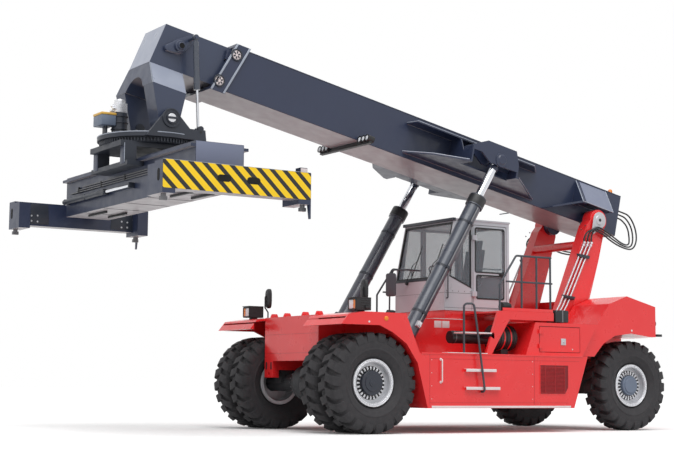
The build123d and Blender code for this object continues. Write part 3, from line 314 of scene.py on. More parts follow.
@dataclass
class Layout:
    """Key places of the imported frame, in the row frame."""

    frame: dict[str, Any]
    joints: dict[str, dict[str, Any]] = field(init=False)

    def __post_init__(self) -> None:
        """Index the joints by name."""
        self.joints = {joint["name"]: joint for joint in self.frame["joints"]}

    def joint(self, name: str) -> Vector:
        """Place of a hinge."""
        return Vector(self.joints[name]["pos_m"])

    @property
    def ground(self) -> Matrix:
        """Row frame from metres measured under the front axle."""
        return Matrix.Translation((self.joint("front_wheel_left").x, 0, 0))

    @property
    def boom(self) -> Matrix:
        """Row frame from metres along, across and square to the boom at its pivot."""
        along = Vector(self.joints["boom_extend"]["axis"])
        turn = Matrix.Rotation(-math.atan2(along.z, along.x), 4, "Y")
        return Matrix.Translation(self.joint("boom_lift")) @ turn


class Maker:
    """Collects shapes into one mesh and turns it into a finished piece."""

    def __init__(self, place: Matrix, side: Side | None = None) -> None:
        """Start an empty mesh.

        Args:
            place: turns the mesh's coordinates into the row frame.
            side: hand whose sign every given Y takes, and whose word takes the place of a star.
        """
        self.place, self.side, self.bm = place, side, bmesh.new()

    def flip(self, spot: Point) -> Vector:
        """Spot on the maker's own side."""
        return Vector((spot[0], spot[1] * (self.side.value if self.side else 1), spot[2]))

    def spot(self, axis: Axis, p: float, q: float, level: float) -> Vector:
        """Spot from its two coordinates across an axis and its level along it."""
        values = [0.0, 0.0, 0.0]
        for index, value in zip(axis.value, (p, q, level)):
            values[index] = value
        return self.flip(values)

    def loft(self, rings: Sequence[Sequence[Point]], closed: bool = False, caps: bool = False) -> "Maker":
        """Skin rings of points, of which one point alone is a pole.

        Args:
            rings: the rings, in order.
            closed: join the last ring to the first.
            caps: close the first and the last ring with a face.

        Returns:
            The maker itself, so that calls can follow each other.
        """
        rows = [[self.bm.verts.new(spot) for spot in ring] for ring in rings]
        for one, two in zip(rows, rows[1:] + rows[:1] if closed else rows[1:]):
            for k in range(max(len(one), len(two))):
                corners = dict.fromkeys((one[k % len(one)], one[(k + 1) % len(one)], two[(k + 1) % len(two)],
                                         two[k % len(two)]))
                if len(corners) > 2:
                    self.bm.faces.new(list(corners))
        for row in (rows[0], rows[-1]) if caps else ():
            self.bm.faces.new(row)
        return self

    def prism(self, outline: Outline, low: float, high: float, axis: Axis = Axis.Y) -> "Maker":
        """Push a closed outline in the plane across an axis from low to high along it."""
        return self.loft([[self.spot(axis, p, q, level) for p, q in outline] for level in (low, high)], caps=True)

    def box(self, x: Point, y: Point, z: Point) -> "Maker":
        """Box from three (low, high) pairs."""
        return self.prism(rectangle(x, z), y[0], y[1])

    def boxes(self, *places: tuple[Point, Point, Point]) -> "Maker":
        """Several boxes."""
        for place in places:
            self.box(*place)
        return self

    def ring(self, outline: Outline, width: float, low: float, high: float, axis: Axis = Axis.Y) -> "Maker":
        """Flat ring of one width outside a closed outline, pushed along an axis from low to high."""
        outer = grown(outline, width)
        edges = ((outline, low), (outer, low), (outer, high), (outline, high))
        return self.loft([[self.spot(axis, p, q, level) for p, q in points] for points, level in edges], closed=True)

    def lathe(self, profile: Outline, centre: Point, axis: Axis = Axis.Y, steps: int = 48) -> "Maker":
        """Turn a closed or pole-to-pole profile about an axis.

        Args:
            profile: (radius, along) points; zero radius makes a pole.
            centre: place of the axis' origin.
            axis: axis of the turn.
            steps: sides round the axis.

        Returns:
            The maker itself.
        """
        a, b, c = axis.value
        angles = [math.tau * k / steps for k in range(steps)]
        rings = [[self.spot(axis, centre[a] + radius * math.cos(t), centre[b] + radius * math.sin(t),
                            centre[c] + along) for t in (angles if radius else angles[:1])]
                 for radius, along in profile]
        return self.loft(rings, closed=profile[0][0] > 0 and profile[-1][0] > 0)

    def tube(self, points: Sequence[Point], radius: float, bend: float = 0.0, sides: int = 12) -> "Maker":
        """Round bar or pipe through points, its corners rounded to one bend radius.

        Args:
            points: corners of the route.
            radius: radius of the section.
            bend: radius of the middle line at each corner.
            sides: sides of the section.

        Returns:
            The maker itself.
        """
        line = rounded([self.flip(p) for p in points], bend)
        across, rings = (line[1] - line[0]).normalized().orthogonal().normalized(), []
        for i, spot in enumerate(line):
            ahead = (line[min(i + 1, len(line) - 1)] - line[max(i - 1, 0)]).normalized()
            across = (across - ahead * across.dot(ahead)).normalized()
            other = ahead.cross(across)
            rings.append([spot + radius * (across * math.cos(t) + other * math.sin(t))
                          for t in (math.tau * k / sides for k in range(sides))])
        return self.loft(rings, caps=True)

    def mirrored(self) -> "Maker":
        """Add the mirror image on the other side of the machine."""
        copy = bmesh.ops.duplicate(self.bm, geom=self.bm.verts[:] + self.bm.edges[:] + self.bm.faces[:])
        bmesh.ops.scale(self.bm, vec=(1, -1, 1), verts=[v for v in copy["geom"] if isinstance(v, bmesh.types.BMVert)])
        return self

    def piece(self, name: str, finish: Finish, body: str = "chassis", slot: str = "", bevel: float = 0.0,
              sharp: float = 35.0) -> bpy.types.Object:
        """Close the mesh and make it a piece of the machine.

        Args:
            name: name of the piece.
            finish: its finish.
            body: CAD body that it rides on, or nothing to leave it unattached.
            slot: material slot of the record, or nothing for the finish's own; not used.
            bevel: width of its rounded edges in metres, or 0.
            sharp: angle in degrees past which an edge stays sharp.

        Returns:
            The finished object.
        """
        word = self.side.word if self.side else ""
        name, body = name.replace("*", word), body.replace("*", word)
        bmesh.ops.recalc_face_normals(self.bm, faces=self.bm.faces[:])
        self.bm.transform(self.place)
        if bevel:
            bmesh.ops.bevel(self.bm, geom=sharp_edges(self.bm, sharp), offset=bevel, segments=2, affect="EDGES",
                            profile=0.5, clamp_overlap=True)
        for face in self.bm.faces:
            face.smooth = True
        for edge in sharp_edges(self.bm, sharp):
            edge.smooth = False
        mesh = bpy.data.meshes.new(name)
        self.bm.to_mesh(mesh)
        self.bm.free()
        mesh.materials.append(finish.build())
        piece = bpy.data.objects.new(name, mesh)
        bpy.context.scene.collection.objects.link(piece)
        if body:
            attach(piece, body)
        slot or finish.slot
        LOG.info("%s: %d faces on %s", name, len(mesh.polygons), body or "two bodies")
        return piece


def sharp_edges(bm: bmesh.types.BMesh, degrees: float) -> list[bmesh.types.BMEdge]:
    """Edges between two faces that meet at more than an angle."""
    return [e for e in bm.edges if len(e.link_faces) == 2 and e.calc_face_angle(0) > math.radians(degrees)]


def rounded(points: Sequence[Point], bend: float, steps: int = 6) -> list[Vector]:
    """Route with its corners replaced by arcs.

    Args:
        points: corners of the route.
        bend: wanted radius at every corner.
        steps: chords in each arc.

    Returns:
        The points of the rounded route.
    """
    spots = [Vector(p) for p in points]
    line = [spots[0]]
    for before, here, after in zip(spots, spots[1:], spots[2:]):
        one, two = (before - here), (after - here)
        reach = bend / max(math.tan(one.angle(two) / 2), 1e-6) if bend else 0.0
        reach = min(reach, one.length * 0.49, two.length * 0.49)
        if reach < 1e-5:
            line.append(here)
            continue
        start, end = here + one.normalized() * reach, here + two.normalized() * reach
        line += [(1 - t) ** 2 * start + 2 * t * (1 - t) * here + t * t * end
                 for t in (k / steps for k in range(steps + 1))]
    return line + [spots[-1]]


# ------------------------------------------------------------------ repeats

REPEAT_TREE = "repeat_along_and_about"


def repeat_tree() -> bpy.types.NodeTree:
    """Geometry Nodes tree that copies a unit along an offset while turning it about an axis.

    Returns:
        The tree, made on first use.
    """
    found = bpy.data.node_groups.get(REPEAT_TREE)
    if found:
        return found
    tree = bpy.data.node_groups.new(REPEAT_TREE, "GeometryNodeTree")
    tree.is_modifier = True
    for name, kind in (("Geometry", "Geometry"), ("Count", "Int"), ("Offset", "Vector"), ("Axis", "Vector"),
                       ("Turn", "Float"), ("Phase", "Float"), ("Material", "Material")):
        tree.interface.new_socket(name, in_out="INPUT", socket_type=f"NodeSocket{kind}")
    tree.interface.new_socket("Geometry", in_out="OUTPUT", socket_type="NodeSocketGeometry")
    given = add_node(tree, "NodeGroupInput").outputs
    index = add_node(tree, "GeometryNodeInputIndex").outputs[0]
    place = add_node(tree, "ShaderNodeVectorMath", {0: given["Offset"], "Scale": index}, operation="SCALE")
    turned = add_node(tree, "ShaderNodeMath", {0: index, 1: given["Turn"], 2: given["Phase"]},
                      operation="MULTIPLY_ADD")
    turn = add_node(tree, "FunctionNodeAxisAngleToRotation",
                    {"Axis": given["Axis"], "Angle": turned.outputs[0]})
    spots = add_node(tree, "GeometryNodePoints", {"Count": given["Count"], "Position": place.outputs[0]})
    copies = add_node(tree, "GeometryNodeInstanceOnPoints",
                      {"Points": spots.outputs[0], "Instance": given["Geometry"], "Rotation": turn.outputs[0]})
    real = add_node(tree, "GeometryNodeRealizeInstances", {0: copies.outputs[0]})
    dressed = add_node(tree, "GeometryNodeSetMaterial",
                       {"Geometry": real.outputs[0], "Material": given["Material"]})
    add_node(tree, "NodeGroupOutput", {0: dressed.outputs[0]})
    return tree


@dataclass(frozen=True)
class Repeat:
    """How a unit is repeated: count, step, axis of turn, angle of each step and first angle."""

    count: int
    offset: Point = (0.0, 0.0, 0.0)
    axis: Point = (0.0, 1.0, 0.0)
    turn: float = 0.0
    phase: float = 0.0

    @classmethod
    def ring(cls, count: int, axis: Point = (0.0, 1.0, 0.0), phase: float = 0.0) -> "Repeat":
        """Even ring about an axis through the origin."""
        return cls(count, axis=axis, turn=math.tau / count, phase=phase)

    def spread(self, unit: Maker, finish: Finish, centre: Point = (0.0, 0.0, 0.0)) -> Maker:
        """Repeat a unit by Geometry Nodes.

        Args:
            unit: maker that holds the unit, placed from the axis of the repeat.
            finish: material that the tree gives the copies.
            centre: where the axis goes.

        Returns:
            The same maker, now with all the copies.
        """
        mesh = bpy.data.meshes.new("unit")
        bmesh.ops.recalc_face_normals(unit.bm, faces=unit.bm.faces[:])
        unit.bm.to_mesh(mesh)
        carrier = bpy.data.objects.new("unit", mesh)
        bpy.context.scene.collection.objects.link(carrier)
        modifier = carrier.modifiers.new("Repeat", "NODES")
        modifier.node_group = repeat_tree()
        given = {"Count": self.count, "Offset": self.offset, "Axis": self.axis, "Turn": self.turn,
                 "Phase": self.phase, "Material": finish.build()}
        for item in modifier.node_group.interface.items_tree:
            if item.in_out == "INPUT" and item.name in given:
                modifier[item.identifier] = given[item.name]
        evaluated = carrier.evaluated_get(bpy.context.evaluated_depsgraph_get())
        result = bpy.data.meshes.new_from_object(evaluated)
        bpy.data.objects.remove(carrier)
        unit.bm.clear()
        unit.bm.from_mesh(result)
        bpy.data.meshes.remove(result)
        bmesh.ops.translate(unit.bm, vec=unit.flip(centre), verts=unit.bm.verts[:])
        return unit


def merged(makers: Iterable[Maker]) -> Maker:
    """Join several makers of one place into the first one, and empty the others."""
    first, *others = makers
    for other in others:
        mesh = bpy.data.meshes.new("part")
        other.bm.to_mesh(mesh)
        other.bm.free()
        first.bm.from_mesh(mesh)
        bpy.data.meshes.remove(mesh)
    return first


def warp(maker: Maker, move: Callable[[Vector], Vector]) -> Maker:
    """Move every vertex of a maker by a rule, and return the maker."""
    for vertex in maker.bm.verts:
        vertex.co = move(vertex.co)
    return maker


# ------------------------------------------------------------------ outlines

def ngon(centre: Point, radius: float, sides: int = 6) -> list[Point]:
    """Corners of a regular polygon."""
    return [(centre[0] + radius * math.cos(math.tau * k / sides),
             centre[1] + radius * math.sin(math.tau * k / sides)) for k in range(sides)]


def oval(centre: Point, half: float, radius: float, tall: bool = False) -> list[Point]:
    """Outline of a long hole with round ends, lying or upright.

    Args:
        centre: its middle.
        half: half of its length.
        radius: radius of its ends.
        tall: stand it upright.

    Returns:
        The corner points.
    """
    points = []
    for a in (math.tau * (k + 0.5) / 24 for k in range(24)):
        long = math.copysign(half - radius, math.cos(a)) + radius * math.cos(a)
        short = radius * math.sin(a)
        points.append((centre[0] + (short if tall else long), centre[1] + (long if tall else short)))
    return points


def rectangle(x: Point, z: Point, corner: float = 0.0) -> list[Point]:
    """Rectangle from two (low, high) pairs, with rounded corners if asked."""
    if not corner:
        return [(x[0], z[0]), (x[1], z[0]), (x[1], z[1]), (x[0], z[1])]
    points = []
    for k, (px, pz) in enumerate(((x[1] - corner, z[1] - corner), (x[0] + corner, z[1] - corner),
                                  (x[0] + corner, z[0] + corner), (x[1] - corner, z[0] + corner))):
        points += [(px + corner * math.cos(a), pz + corner * math.sin(a))
                   for a in (math.pi / 2 * (k + t / 4) for t in range(5))]
    return points


def grown(outline: Outline, width: float) -> list[Point]:
    """Outline moved outwards by width, or inwards if it is negative, with mitred corners."""
    spots = [Vector(p) for p in outline]
    area = sum(a.x * b.y - b.x * a.y for a, b in zip(spots, spots[1:] + spots[:1]))
    hand = 1 if area > 0 else -1
    result = []
    for before, here, after in zip(spots[-1:] + spots[:-1], spots, spots[1:] + spots[:1]):
        one, two = (here - before).normalized(), (after - here).normalized()
        normals = [Vector((d.y, -d.x)) * hand for d in (one, two)]
        middle = (normals[0] + normals[1]).normalized()
        result.append(tuple(here + middle * (width / max(middle.dot(normals[0]), 0.3))))
    return result


def hull(points: Outline) -> list[Point]:
    """Smallest convex outline round some points."""
    spots = sorted(set(points))
    result: list[Point] = []
    for run in (spots, spots[::-1]):
        side: list[Point] = []
        for p in run:
            while len(side) > 1 and ((side[-1][0] - side[-2][0]) * (p[1] - side[-2][1])
                                     - (side[-1][1] - side[-2][1]) * (p[0] - side[-2][0])) <= 0:
                side.pop()
            side.append(p)
        result += side[:-1]
    return result


def clipped(outline: Outline, low: float, high: float) -> list[Point]:
    """Outline cut off below low and above high in its first coordinate."""
    for limit, sign in ((low, 1), (high, -1)):
        kept: list[Point] = []
        for (x0, z0), (x1, z1) in zip(outline, [*outline[1:], outline[0]]):
            inside0, inside1 = sign * (x0 - limit) >= 0, sign * (x1 - limit) >= 0
            if inside0:
                kept.append((x0, z0))
            if inside0 != inside1:
                t = (limit - x0) / (x1 - x0)
                kept.append((limit, z0 + t * (z1 - z0)))
        outline = kept
    return list(outline)


def soft(wave: Callable[[float], float], angle: float, exponent: float) -> float:
    """Sine or cosine of an angle, raised to an exponent with its sign kept."""
    return math.copysign(abs(wave(angle)) ** exponent, wave(angle))


@dataclass
class Assembly:
    """Group of trim pieces, placed with the machine's layout."""

    layout: Layout

    def ground(self, side: Side | None = None) -> Maker:
        """Maker in metres from the ground under the front axle."""
        return Maker(self.layout.ground, side)

    def on_boom(self, side: Side | None = None) -> Maker:
        """Maker in metres along, across and square to the boom."""
        return Maker(self.layout.boom, side)

    def once(self) -> None:
        """Make the pieces that lie across the machine or are mirrored as a whole."""

    def each(self, side: Side) -> None:
        """Make the pieces of one side."""

    def build(self) -> None:
        """Make all pieces."""
        self.once()
        for side in Side:
            self.each(side)


# ------------------------------------------------------------------ wheels

REAR_AXLE_X = -5.85
AXLE_Z = 0.808


@dataclass
class Tyres(Assembly):
    """Lugged earthmover tyres, one mesh on each wheel body. Sizes in metres."""

    twin_ys: tuple[float, float] = (1.178, 1.758)
    rear_y: float = 1.44
    radius: float = 0.808
    half_width: float = 0.245
    lugs: int = 22
    lug_width: float = 0.142
    skew: float = 0.30

    def each(self, side: Side) -> None:
        """Make the tyres of both wheel bodies and put them in the place of their nodes."""
        for body, node, ys, x in (("front_wheels", "front_tyres", self.twin_ys, 0.0),
                                  ("rear_wheel", "rear_tyre", (self.rear_y,), REAR_AXLE_X)):
            tyres = merged(shape for y in ys for shape in self.tyre((x, side.value * y, self.radius)))
            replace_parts(tyres.piece(f"{node}_tread_{side.word}", RUBBER, f"{body}_{side.word}"), f"{node}_{side.word}")

    def tyre(self, centre: Point) -> list[Maker]:
        """Carcass and both rows of lugs of one tyre."""
        carcass = self.ground().lathe(self.carcass(), centre, steps=96)
        rows = [Repeat.ring(self.lugs, phase=hand * math.pi / self.lugs / 2).spread(self.lug(hand), RUBBER, centre)
                for hand in (1, -1)]
        return [carcass, *rows]

    def carcass(self) -> list[Point]:
        """Section of the tyre from bead to bead, as (radius, across)."""
        w = self.half_width
        half = [(0.383, 0.150), (0.392, 0.158), (0.401, 0.152), (0.425, 0.188), (0.47, 0.216), (0.52, 0.232),
                (0.525, 0.237), (0.545, 0.238), (0.55, 0.234), (0.61, w - 0.006), (0.655, w - 0.008),
                (0.70, w - 0.016), (0.735, w - 0.034), (0.752, w - 0.062), (0.758, 0.10)]
        return half + [(r, -y) for r, y in reversed(half)]

    def lug(self, hand: int) -> Maker:
        """One lug at the top of the tyre, wrapped over the shoulder on its hand."""
        w, r = self.half_width, self.radius
        outline = [(-0.012, 0.745), (0.0, r - 0.004), (0.10, r), (0.19, r - 0.006), (0.222, r - 0.022),
                   (w - 0.004, 0.748), (w, 0.70), (w - 0.004, 0.655), (w - 0.02, 0.655), (w - 0.04, 0.70),
                   (w - 0.07, 0.735)]
        unit = self.ground().prism([(hand * y, z) for y, z in outline], -self.lug_width / 2, self.lug_width / 2, Axis.X)

        def move(v: Vector) -> Vector:
            """Point of the flat lug, skewed and laid round the tyre."""
            flare = 1.0 - 1.6 * max(v.z - 0.745, 0.0) - 1.2 * max(0.72 - v.z, 0.0)
            x = v.x * flare + self.skew * (v.y * hand - 0.12)
            return Vector((x, v.y, math.sqrt(v.z * v.z - x * x)))

        return warp(unit, move)


@dataclass
class WheelFaces(Assembly):
    """Hub covers, clamp rings and polished lips on the rims. Sizes in metres."""

    front_disc_y: float = 1.848
    rear_disc_y: float = 1.53
    clamps: int = 24
    clamp_reach: float = 0.026

    def each(self, side: Side) -> None:
        """Make the faces of both wheel bodies."""
        front = [(0, 0.088), (0.030, 0.088), (0.032, 0.085), (0.060, 0.085), (0.062, 0.077), (0.135, 0.077),
                 (0.138, 0.066), (0.191, 0.066), (0.198, 0.058), (0.198, 0)]
        rear = [(0, 0.082), (0.128, 0.082), (0.138, 0.076), (0.140, 0.066), (0.171, 0.066), (0.178, 0.058), (0.178, 0)]
        self.face(side, "front_wheels", (0.0, self.front_disc_y, AXLE_Z), front, GRAPHITE)
        self.face(side, "rear_wheel", (REAR_AXLE_X, self.rear_disc_y, AXLE_Z), rear, HUB_BLUE)

    def face(self, side: Side, body: str, centre: Point, hub: Outline, finish: Finish) -> None:
        """Make the hub cover, the dark recess, the clamps with their nuts and the lips of one wheel."""
        x, y, z = centre
        inner, foot, top = hub[-1][0] + 0.004, hub[-1][0] + 0.012, 0.262
        recess = [(inner, 0), (inner, 0.003), (0.268, 0.003), (0.268, 0)]
        lip = [(0.330, 0.032), (0.330, 0.040), (0.337, 0.054), (0.345, 0.056), (0.352, 0.044), (0.360, 0.044),
               (0.366, 0.054), (0.376, 0.054), (0.382, 0.046), (0.382, 0.032)]
        clamp = self.ground(side).prism([(-0.011, foot), (0.011, foot), (0.015, top), (-0.015, top)], 0.0,
                                        self.clamp_reach * 0.55)
        clamp.prism(ngon((0, (foot + top) / 2), 0.011), 0.0, self.clamp_reach)
        # The black recess ring is painted shade in the recess behind the clamps.
        for name, paint, shape, sharp in (
                ("hub_cover", finish, self.ground(side).lathe(hub, centre, steps=64), 25),
                ("clamp_recess", BLACK, self.ground(side).lathe(recess, centre, steps=64), 35),
                ("clamps", BRIGHT, Repeat.ring(self.clamps).spread(clamp, BRIGHT, centre), 35),
                ("lip", BRIGHT, self.ground(side).lathe(lip, (x, y + 0.045, z), steps=96), 35)):
            shape.piece(f"{body}_{name}_*", paint, f"{body}_*", "rim_paint", sharp=sharp)


# ------------------------------------------------------------------ spreader

@dataclass
class WarningStripes(Assembly):
    """Slanting yellow bands and the long holes on the outer faces of the spreader's end beams."""

    bands: int = 11
    band_share: float = 0.57
    lean: float = 0.42
    proud: float = 0.002
    face: float = 3.05
    beam_z: tuple[float, float] = (3.47, 3.87)
    hole_reach: float = 0.24

    def each(self, side: Side) -> None:
        """Make the bands and the holes of one end."""
        body, (z0, z1) = "spreader_end_*", self.beam_z
        low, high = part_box(f"spreader_end_{side.word}")
        x0, x1, middle = low.x + 0.004, high.x - 0.004, (low.x + high.x) / 2
        pitch = (x1 - x0) / self.bands
        ground, bands, holes = (Maker(Matrix.Identity(4), side) for _ in range(3))
        ground.prism(rectangle((x0, x1), self.beam_z), self.face - 0.002, self.face + 0.001)
        ground.piece("warning_ground_*", BLACK, body, "boom_paint")
        for k in range(self.bands + 3):
            left = x0 + k * pitch + 0.06
            right = left + pitch * self.band_share
            band = clipped([(left, z1), (right, z1), (right - self.lean, z0), (left - self.lean, z0)], x0, x1)
            if len(band) > 2:
                bands.prism(band, self.face, self.face + self.proud)
        bands.piece("warning_bands_*", YELLOW, body)
        # The long holes are near-black sheets of painted shade.
        for x in (middle - self.hole_reach, middle + self.hole_reach):
            holes.prism(oval((x, 3.675), 0.11, 0.05), self.face, self.face + 2 * self.proud)
        holes.prism(oval((2.92, 3.665), 0.09, 0.04, tall=True), high.x - 0.01, high.x + self.proud, Axis.X)
        holes.piece("beam_holes_*", HOLLOW, body)


@dataclass
class SpreaderTrim(Assembly):
    """Telescope cylinder, pipes, skins of painted light on the box ends and underside bars of the spreader. Sizes in
    metres.
    """

    slew_x: float = 3.0769
    face: float = 0.40
    inner: float = 2.79

    def once(self) -> None:
        """Make the trim of the frame."""
        self.cylinder()
        self.pipes()
        self.underside()
        rear, front = self.slew_x - self.face, self.slew_x + self.face
        # Skins of painted light on the frame's box ends, lighter than the slate paint.
        skins = self.ground().prism(rectangle((rear + 0.006, front - 0.006), (3.885, 4.285)), 2.45, 2.453)
        skins.mirrored().piece("frame_end_skins", SLATE_PAINTED_LIGHT, "spreader", bevel=0.001)
        for name, x in (("front", front + 0.04), ("rear", rear - 0.04)):
            bolt = self.ground().prism(ngon((0, 0), 0.016), 0.0, 0.012, Axis.Z)
            Repeat(16, offset=(0.0, 0.31, 0.0)).spread(bolt, STEEL, (x, -2.33, 4.245)).piece(
                f"rail_bolts_{name}", STEEL, "spreader")

    def cylinder(self) -> None:
        """Telescope cylinder along the frame's front face, with its feet."""
        front = self.slew_x + self.face
        x, z = front + 0.062, 3.86
        self.ground().tube([(x, -2.38, z), (x, -0.62, z)], 0.045, sides=20).piece(
            "telescope_barrel", GRAPHITE, "spreader", "barrel_paint")
        self.ground().tube([(x, -0.62, z), (x, 0.34, z)], 0.026, sides=16).piece("telescope_rod", CHROME, "spreader")
        feet = self.ground().boxes(*(((front, x + 0.04), (y - 0.02, y + 0.02), (z - 0.045, z + 0.045))
                                     for y in (-2.30, -1.45, -0.66, 0.34)))
        feet.piece("telescope_feet", GRAPHITE, "spreader", bevel=0.006)

    def pipes(self) -> None:
        """Thin oil pipes that run along the frame above the cylinder, held by clamps."""
        maker, front = self.ground(), self.slew_x + self.face
        for k, z in enumerate((3.985, 4.020, 4.055)):
            x, end = front + 0.022, 0.12 * k
            maker.tube([(x, -2.2 + 0.25 * k, z), (x, 1.75 - end, z), (x, 1.82 - end, z - 0.1)], 0.011, 0.03, 8)
        maker.piece("spreader_pipes", STEEL, "spreader")
        clamp = self.ground().box((0, 0.038), (-0.012, 0.012), (-0.05, 0.05))
        Repeat(4, offset=(0.0, 0.95, 0.0)).spread(clamp, BLACK, (front, -1.85, 4.02)).piece(
            "spreader_pipe_clamps", BLACK, "spreader")

    def underside(self) -> None:
        """Dark plate joints and slide bars under the frame."""
        reach = (self.slew_x - self.face + 0.01, self.slew_x + self.face - 0.01)
        bars = self.ground().boxes(*((reach, (y - 0.006, y + 0.006), (3.616, 3.62))
                                     for y in (-1.65, -0.85, 0, 0.85, 1.65)))
        for x in (self.slew_x - 0.16, self.slew_x + 0.20):
            bars.boxes(*(((x - 0.02, x + 0.02), (y, y + 0.72), (3.585, 3.62)) for y in (-1.9, 1.25)))
        bars.piece("underside_bars", BLACK, "spreader", bevel=0.002)

    def each(self, side: Side) -> None:
        """Welded plates, bolts and the painted highlight along the top edge of one end beam."""
        body, inner, slew = "spreader_end_*", self.inner, self.slew_x
        bolts, plates = self.ground(side), self.ground(side)
        for sign in (-1, 1):
            for dx, z in ((0.10, 3.81), (0.10, 3.69), (-0.02, 3.64), (-0.13, 3.65), (-0.02, 3.55), (-0.13, 3.545)):
                bolts.prism(ngon((slew + sign * (0.92 + dx), z), 0.017), inner, inner - 0.014)
            x = slew + sign * 0.80
            plates.prism([(x - 0.22, 3.50), (x + 0.22, 3.50), (x + 0.20, 3.85), (x - 0.20, 3.85)], inner, inner - 0.008)
        bolts.piece("end_bolts_*", SILVER, body, "lock_steel")
        plates.piece("end_plates_*", GRAPHITE, body, bevel=0.002)
        flap = self.ground(side).box((slew - 1.17, slew - 1.06), (2.991, 2.994), (3.88, 3.94))
        flap.piece("flap_plate_*", PALE, body)
        edge = self.ground(side).tube([(slew - 1.2, 3.045, 3.872), (slew + 1.2, 3.045, 3.872)], 0.005, sides=8)
        edge.piece("end_top_edge_*", EDGE, body)


@dataclass
class SlewTrim(Assembly):
    """Bolts, pins, motor parts and the sensor of the yoke and slewing gear. Sizes in metres."""

    slew_x: float = 3.0769
    pin_z: float = 4.9086
    ring_radius: float = 0.83

    def once(self) -> None:
        """Make the pieces above and below the slewing ring."""
        upright = (0.0, 0.0, 1.0)
        bolt = self.ground().prism(ngon((self.ring_radius - 0.055, 0), 0.019), 0.0, 0.018, Axis.Z)
        Repeat.ring(36, upright).spread(bolt, STEEL, (self.slew_x, 0.0, 4.68)).piece("ring_bolts", STEEL, "yoke")
        tooth = self.ground().prism([(0.765, -0.022), (0.797, -0.010), (0.797, 0.010), (0.765, 0.022)], 0.0, 0.055,
                                    Axis.Z)
        Repeat.ring(96, upright).spread(tooth, GRAPHITE, (self.slew_x, 0.0, 4.53)).piece(
            "ring_gear_teeth", GRAPHITE, "rotator", "lock_steel")
        # Painted highlight round the yoke plate's edge.
        edge = [(0.828, 0), (0.834, 0.004), (0.834, 0.014), (0.828, 0.018)]
        self.ground().lathe(edge, (self.slew_x, 0, 4.662), Axis.Z, 96).piece("yoke_plate_edge", EDGE, "yoke")
        self.motor()
        self.sensor()
        self.posts()

    def each(self, side: Side) -> None:
        """Ringed boss round a head pin, its bright end, the keeper bar and a hole in the ear."""
        x, z, centre = self.slew_x, self.pin_z, (self.slew_x, 0.80, self.pin_z)
        boss = [(0.078, 0), (0.078, 0.030), (0.092, 0.034), (0.100, 0.014), (0.128, 0.014), (0.132, 0.022),
                (0.150, 0.022), (0.156, 0)]
        self.ground(side).lathe(boss, centre, steps=64).piece("pin_boss_*", GRAPHITE, "yoke", sharp=25)
        end = [(0, 0.036), (0.066, 0.036), (0.072, 0.030), (0, 0.030)]
        self.ground(side).lathe(end, centre).piece("pin_end_*", BRIGHT, "yoke", "rod_chrome")
        keeper = self.ground(side).box((x - 0.088, x + 0.088), (0.832, 0.846), (z - 0.018, z + 0.018))
        keeper.piece("pin_keeper_*", GRAPHITE, "yoke", bevel=0.003)
        # The hole in the ear is a black disc of painted shade.
        self.ground(side).prism(ngon((x - 0.52, 4.735), 0.022, 16), 0.80, 0.803).piece("ear_hole_*", BLACK, "yoke")

    def motor(self) -> None:
        """Ribs of the slewing motor and the bright valve block on its top."""
        x, y = self.slew_x + 0.44, -0.20
        rib = self.ground().lathe([(0.120, 0), (0.139, 0.006), (0.139, 0.022), (0.120, 0.028)], (0, 0, 0), Axis.Z, 40)
        Repeat(4, offset=(0.0, 0.0, 0.105)).spread(rib, GRAPHITE, (x, y, 4.70)).piece("motor_ribs", GRAPHITE, "yoke")
        block = self.ground().box((x - 0.092, x + 0.095), (y - 0.090, y + 0.095), (5.09, 5.24))
        block.lathe([(0, 0), (0.090, 0), (0.090, 0.055), (0.078, 0.068), (0.03, 0.068), (0.03, 0.085), (0, 0.085)],
                    (x, y, 5.24), Axis.Z, 32)
        for dy, z in ((-0.04, 5.12), (0.05, 5.15), (0, 5.19)):
            block.lathe([(0, 0), (0.022, 0), (0.022, 0.05), (0.014, 0.06), (0, 0.06)],
                        (x + 0.094, y + dy, z), Axis.X, 16)
        block.piece("valve_block", BRIGHT, "yoke", bevel=0.006)

    def sensor(self) -> None:
        """Grey sensor box with a yellow cover, on a bracket at the front of the yoke plate."""
        x = self.slew_x + 0.66
        box = self.ground().box((x - 0.12, x + 0.13), (-0.44, -0.10), (4.86, 5.03))
        box.piece("sensor_box", HUB_BLUE, "yoke", "lamp_housing", bevel=0.012)
        lid = self.ground().box((x - 0.125, x + 0.135), (-0.445, -0.095), (5.03, 5.07))
        lid.piece("sensor_lid", SAND, "yoke", bevel=0.010)
        bracket = self.ground().boxes(((x - 0.20, x + 0.02), (-0.32, -0.18), (4.68, 4.70)),
                                      ((x - 0.01, x + 0.02), (-0.32, -0.18), (4.68, 4.87)))
        bracket.piece("sensor_bracket", GRAPHITE, "yoke", bevel=0.003)

    def posts(self) -> None:
        """Faces of the turning frame's front and rear posts, and painted highlights along their edges."""
        faces, edges = self.ground(), self.ground()
        for sign in (1, -1):
            x = self.slew_x + sign * 0.69
            for hand in (-1, 1):
                y = hand * 0.52
                faces.prism([(y - 0.085, 4.16), (y + 0.085, 4.16), (y + 0.07, 4.50), (y - 0.07, 4.50)],
                            min(x, x + sign * 0.006), max(x, x + sign * 0.006), Axis.X)
                edges.tube([(x + sign * 0.003, hand * 0.60, z) for z in (4.18, 4.48)], 0.006, sides=8)
        faces.piece("post_faces", SLATE_PLAIN, "rotator", bevel=0.002)
        edges.piece("post_edges", EDGE, "rotator")


# ------------------------------------------------------------------ boom

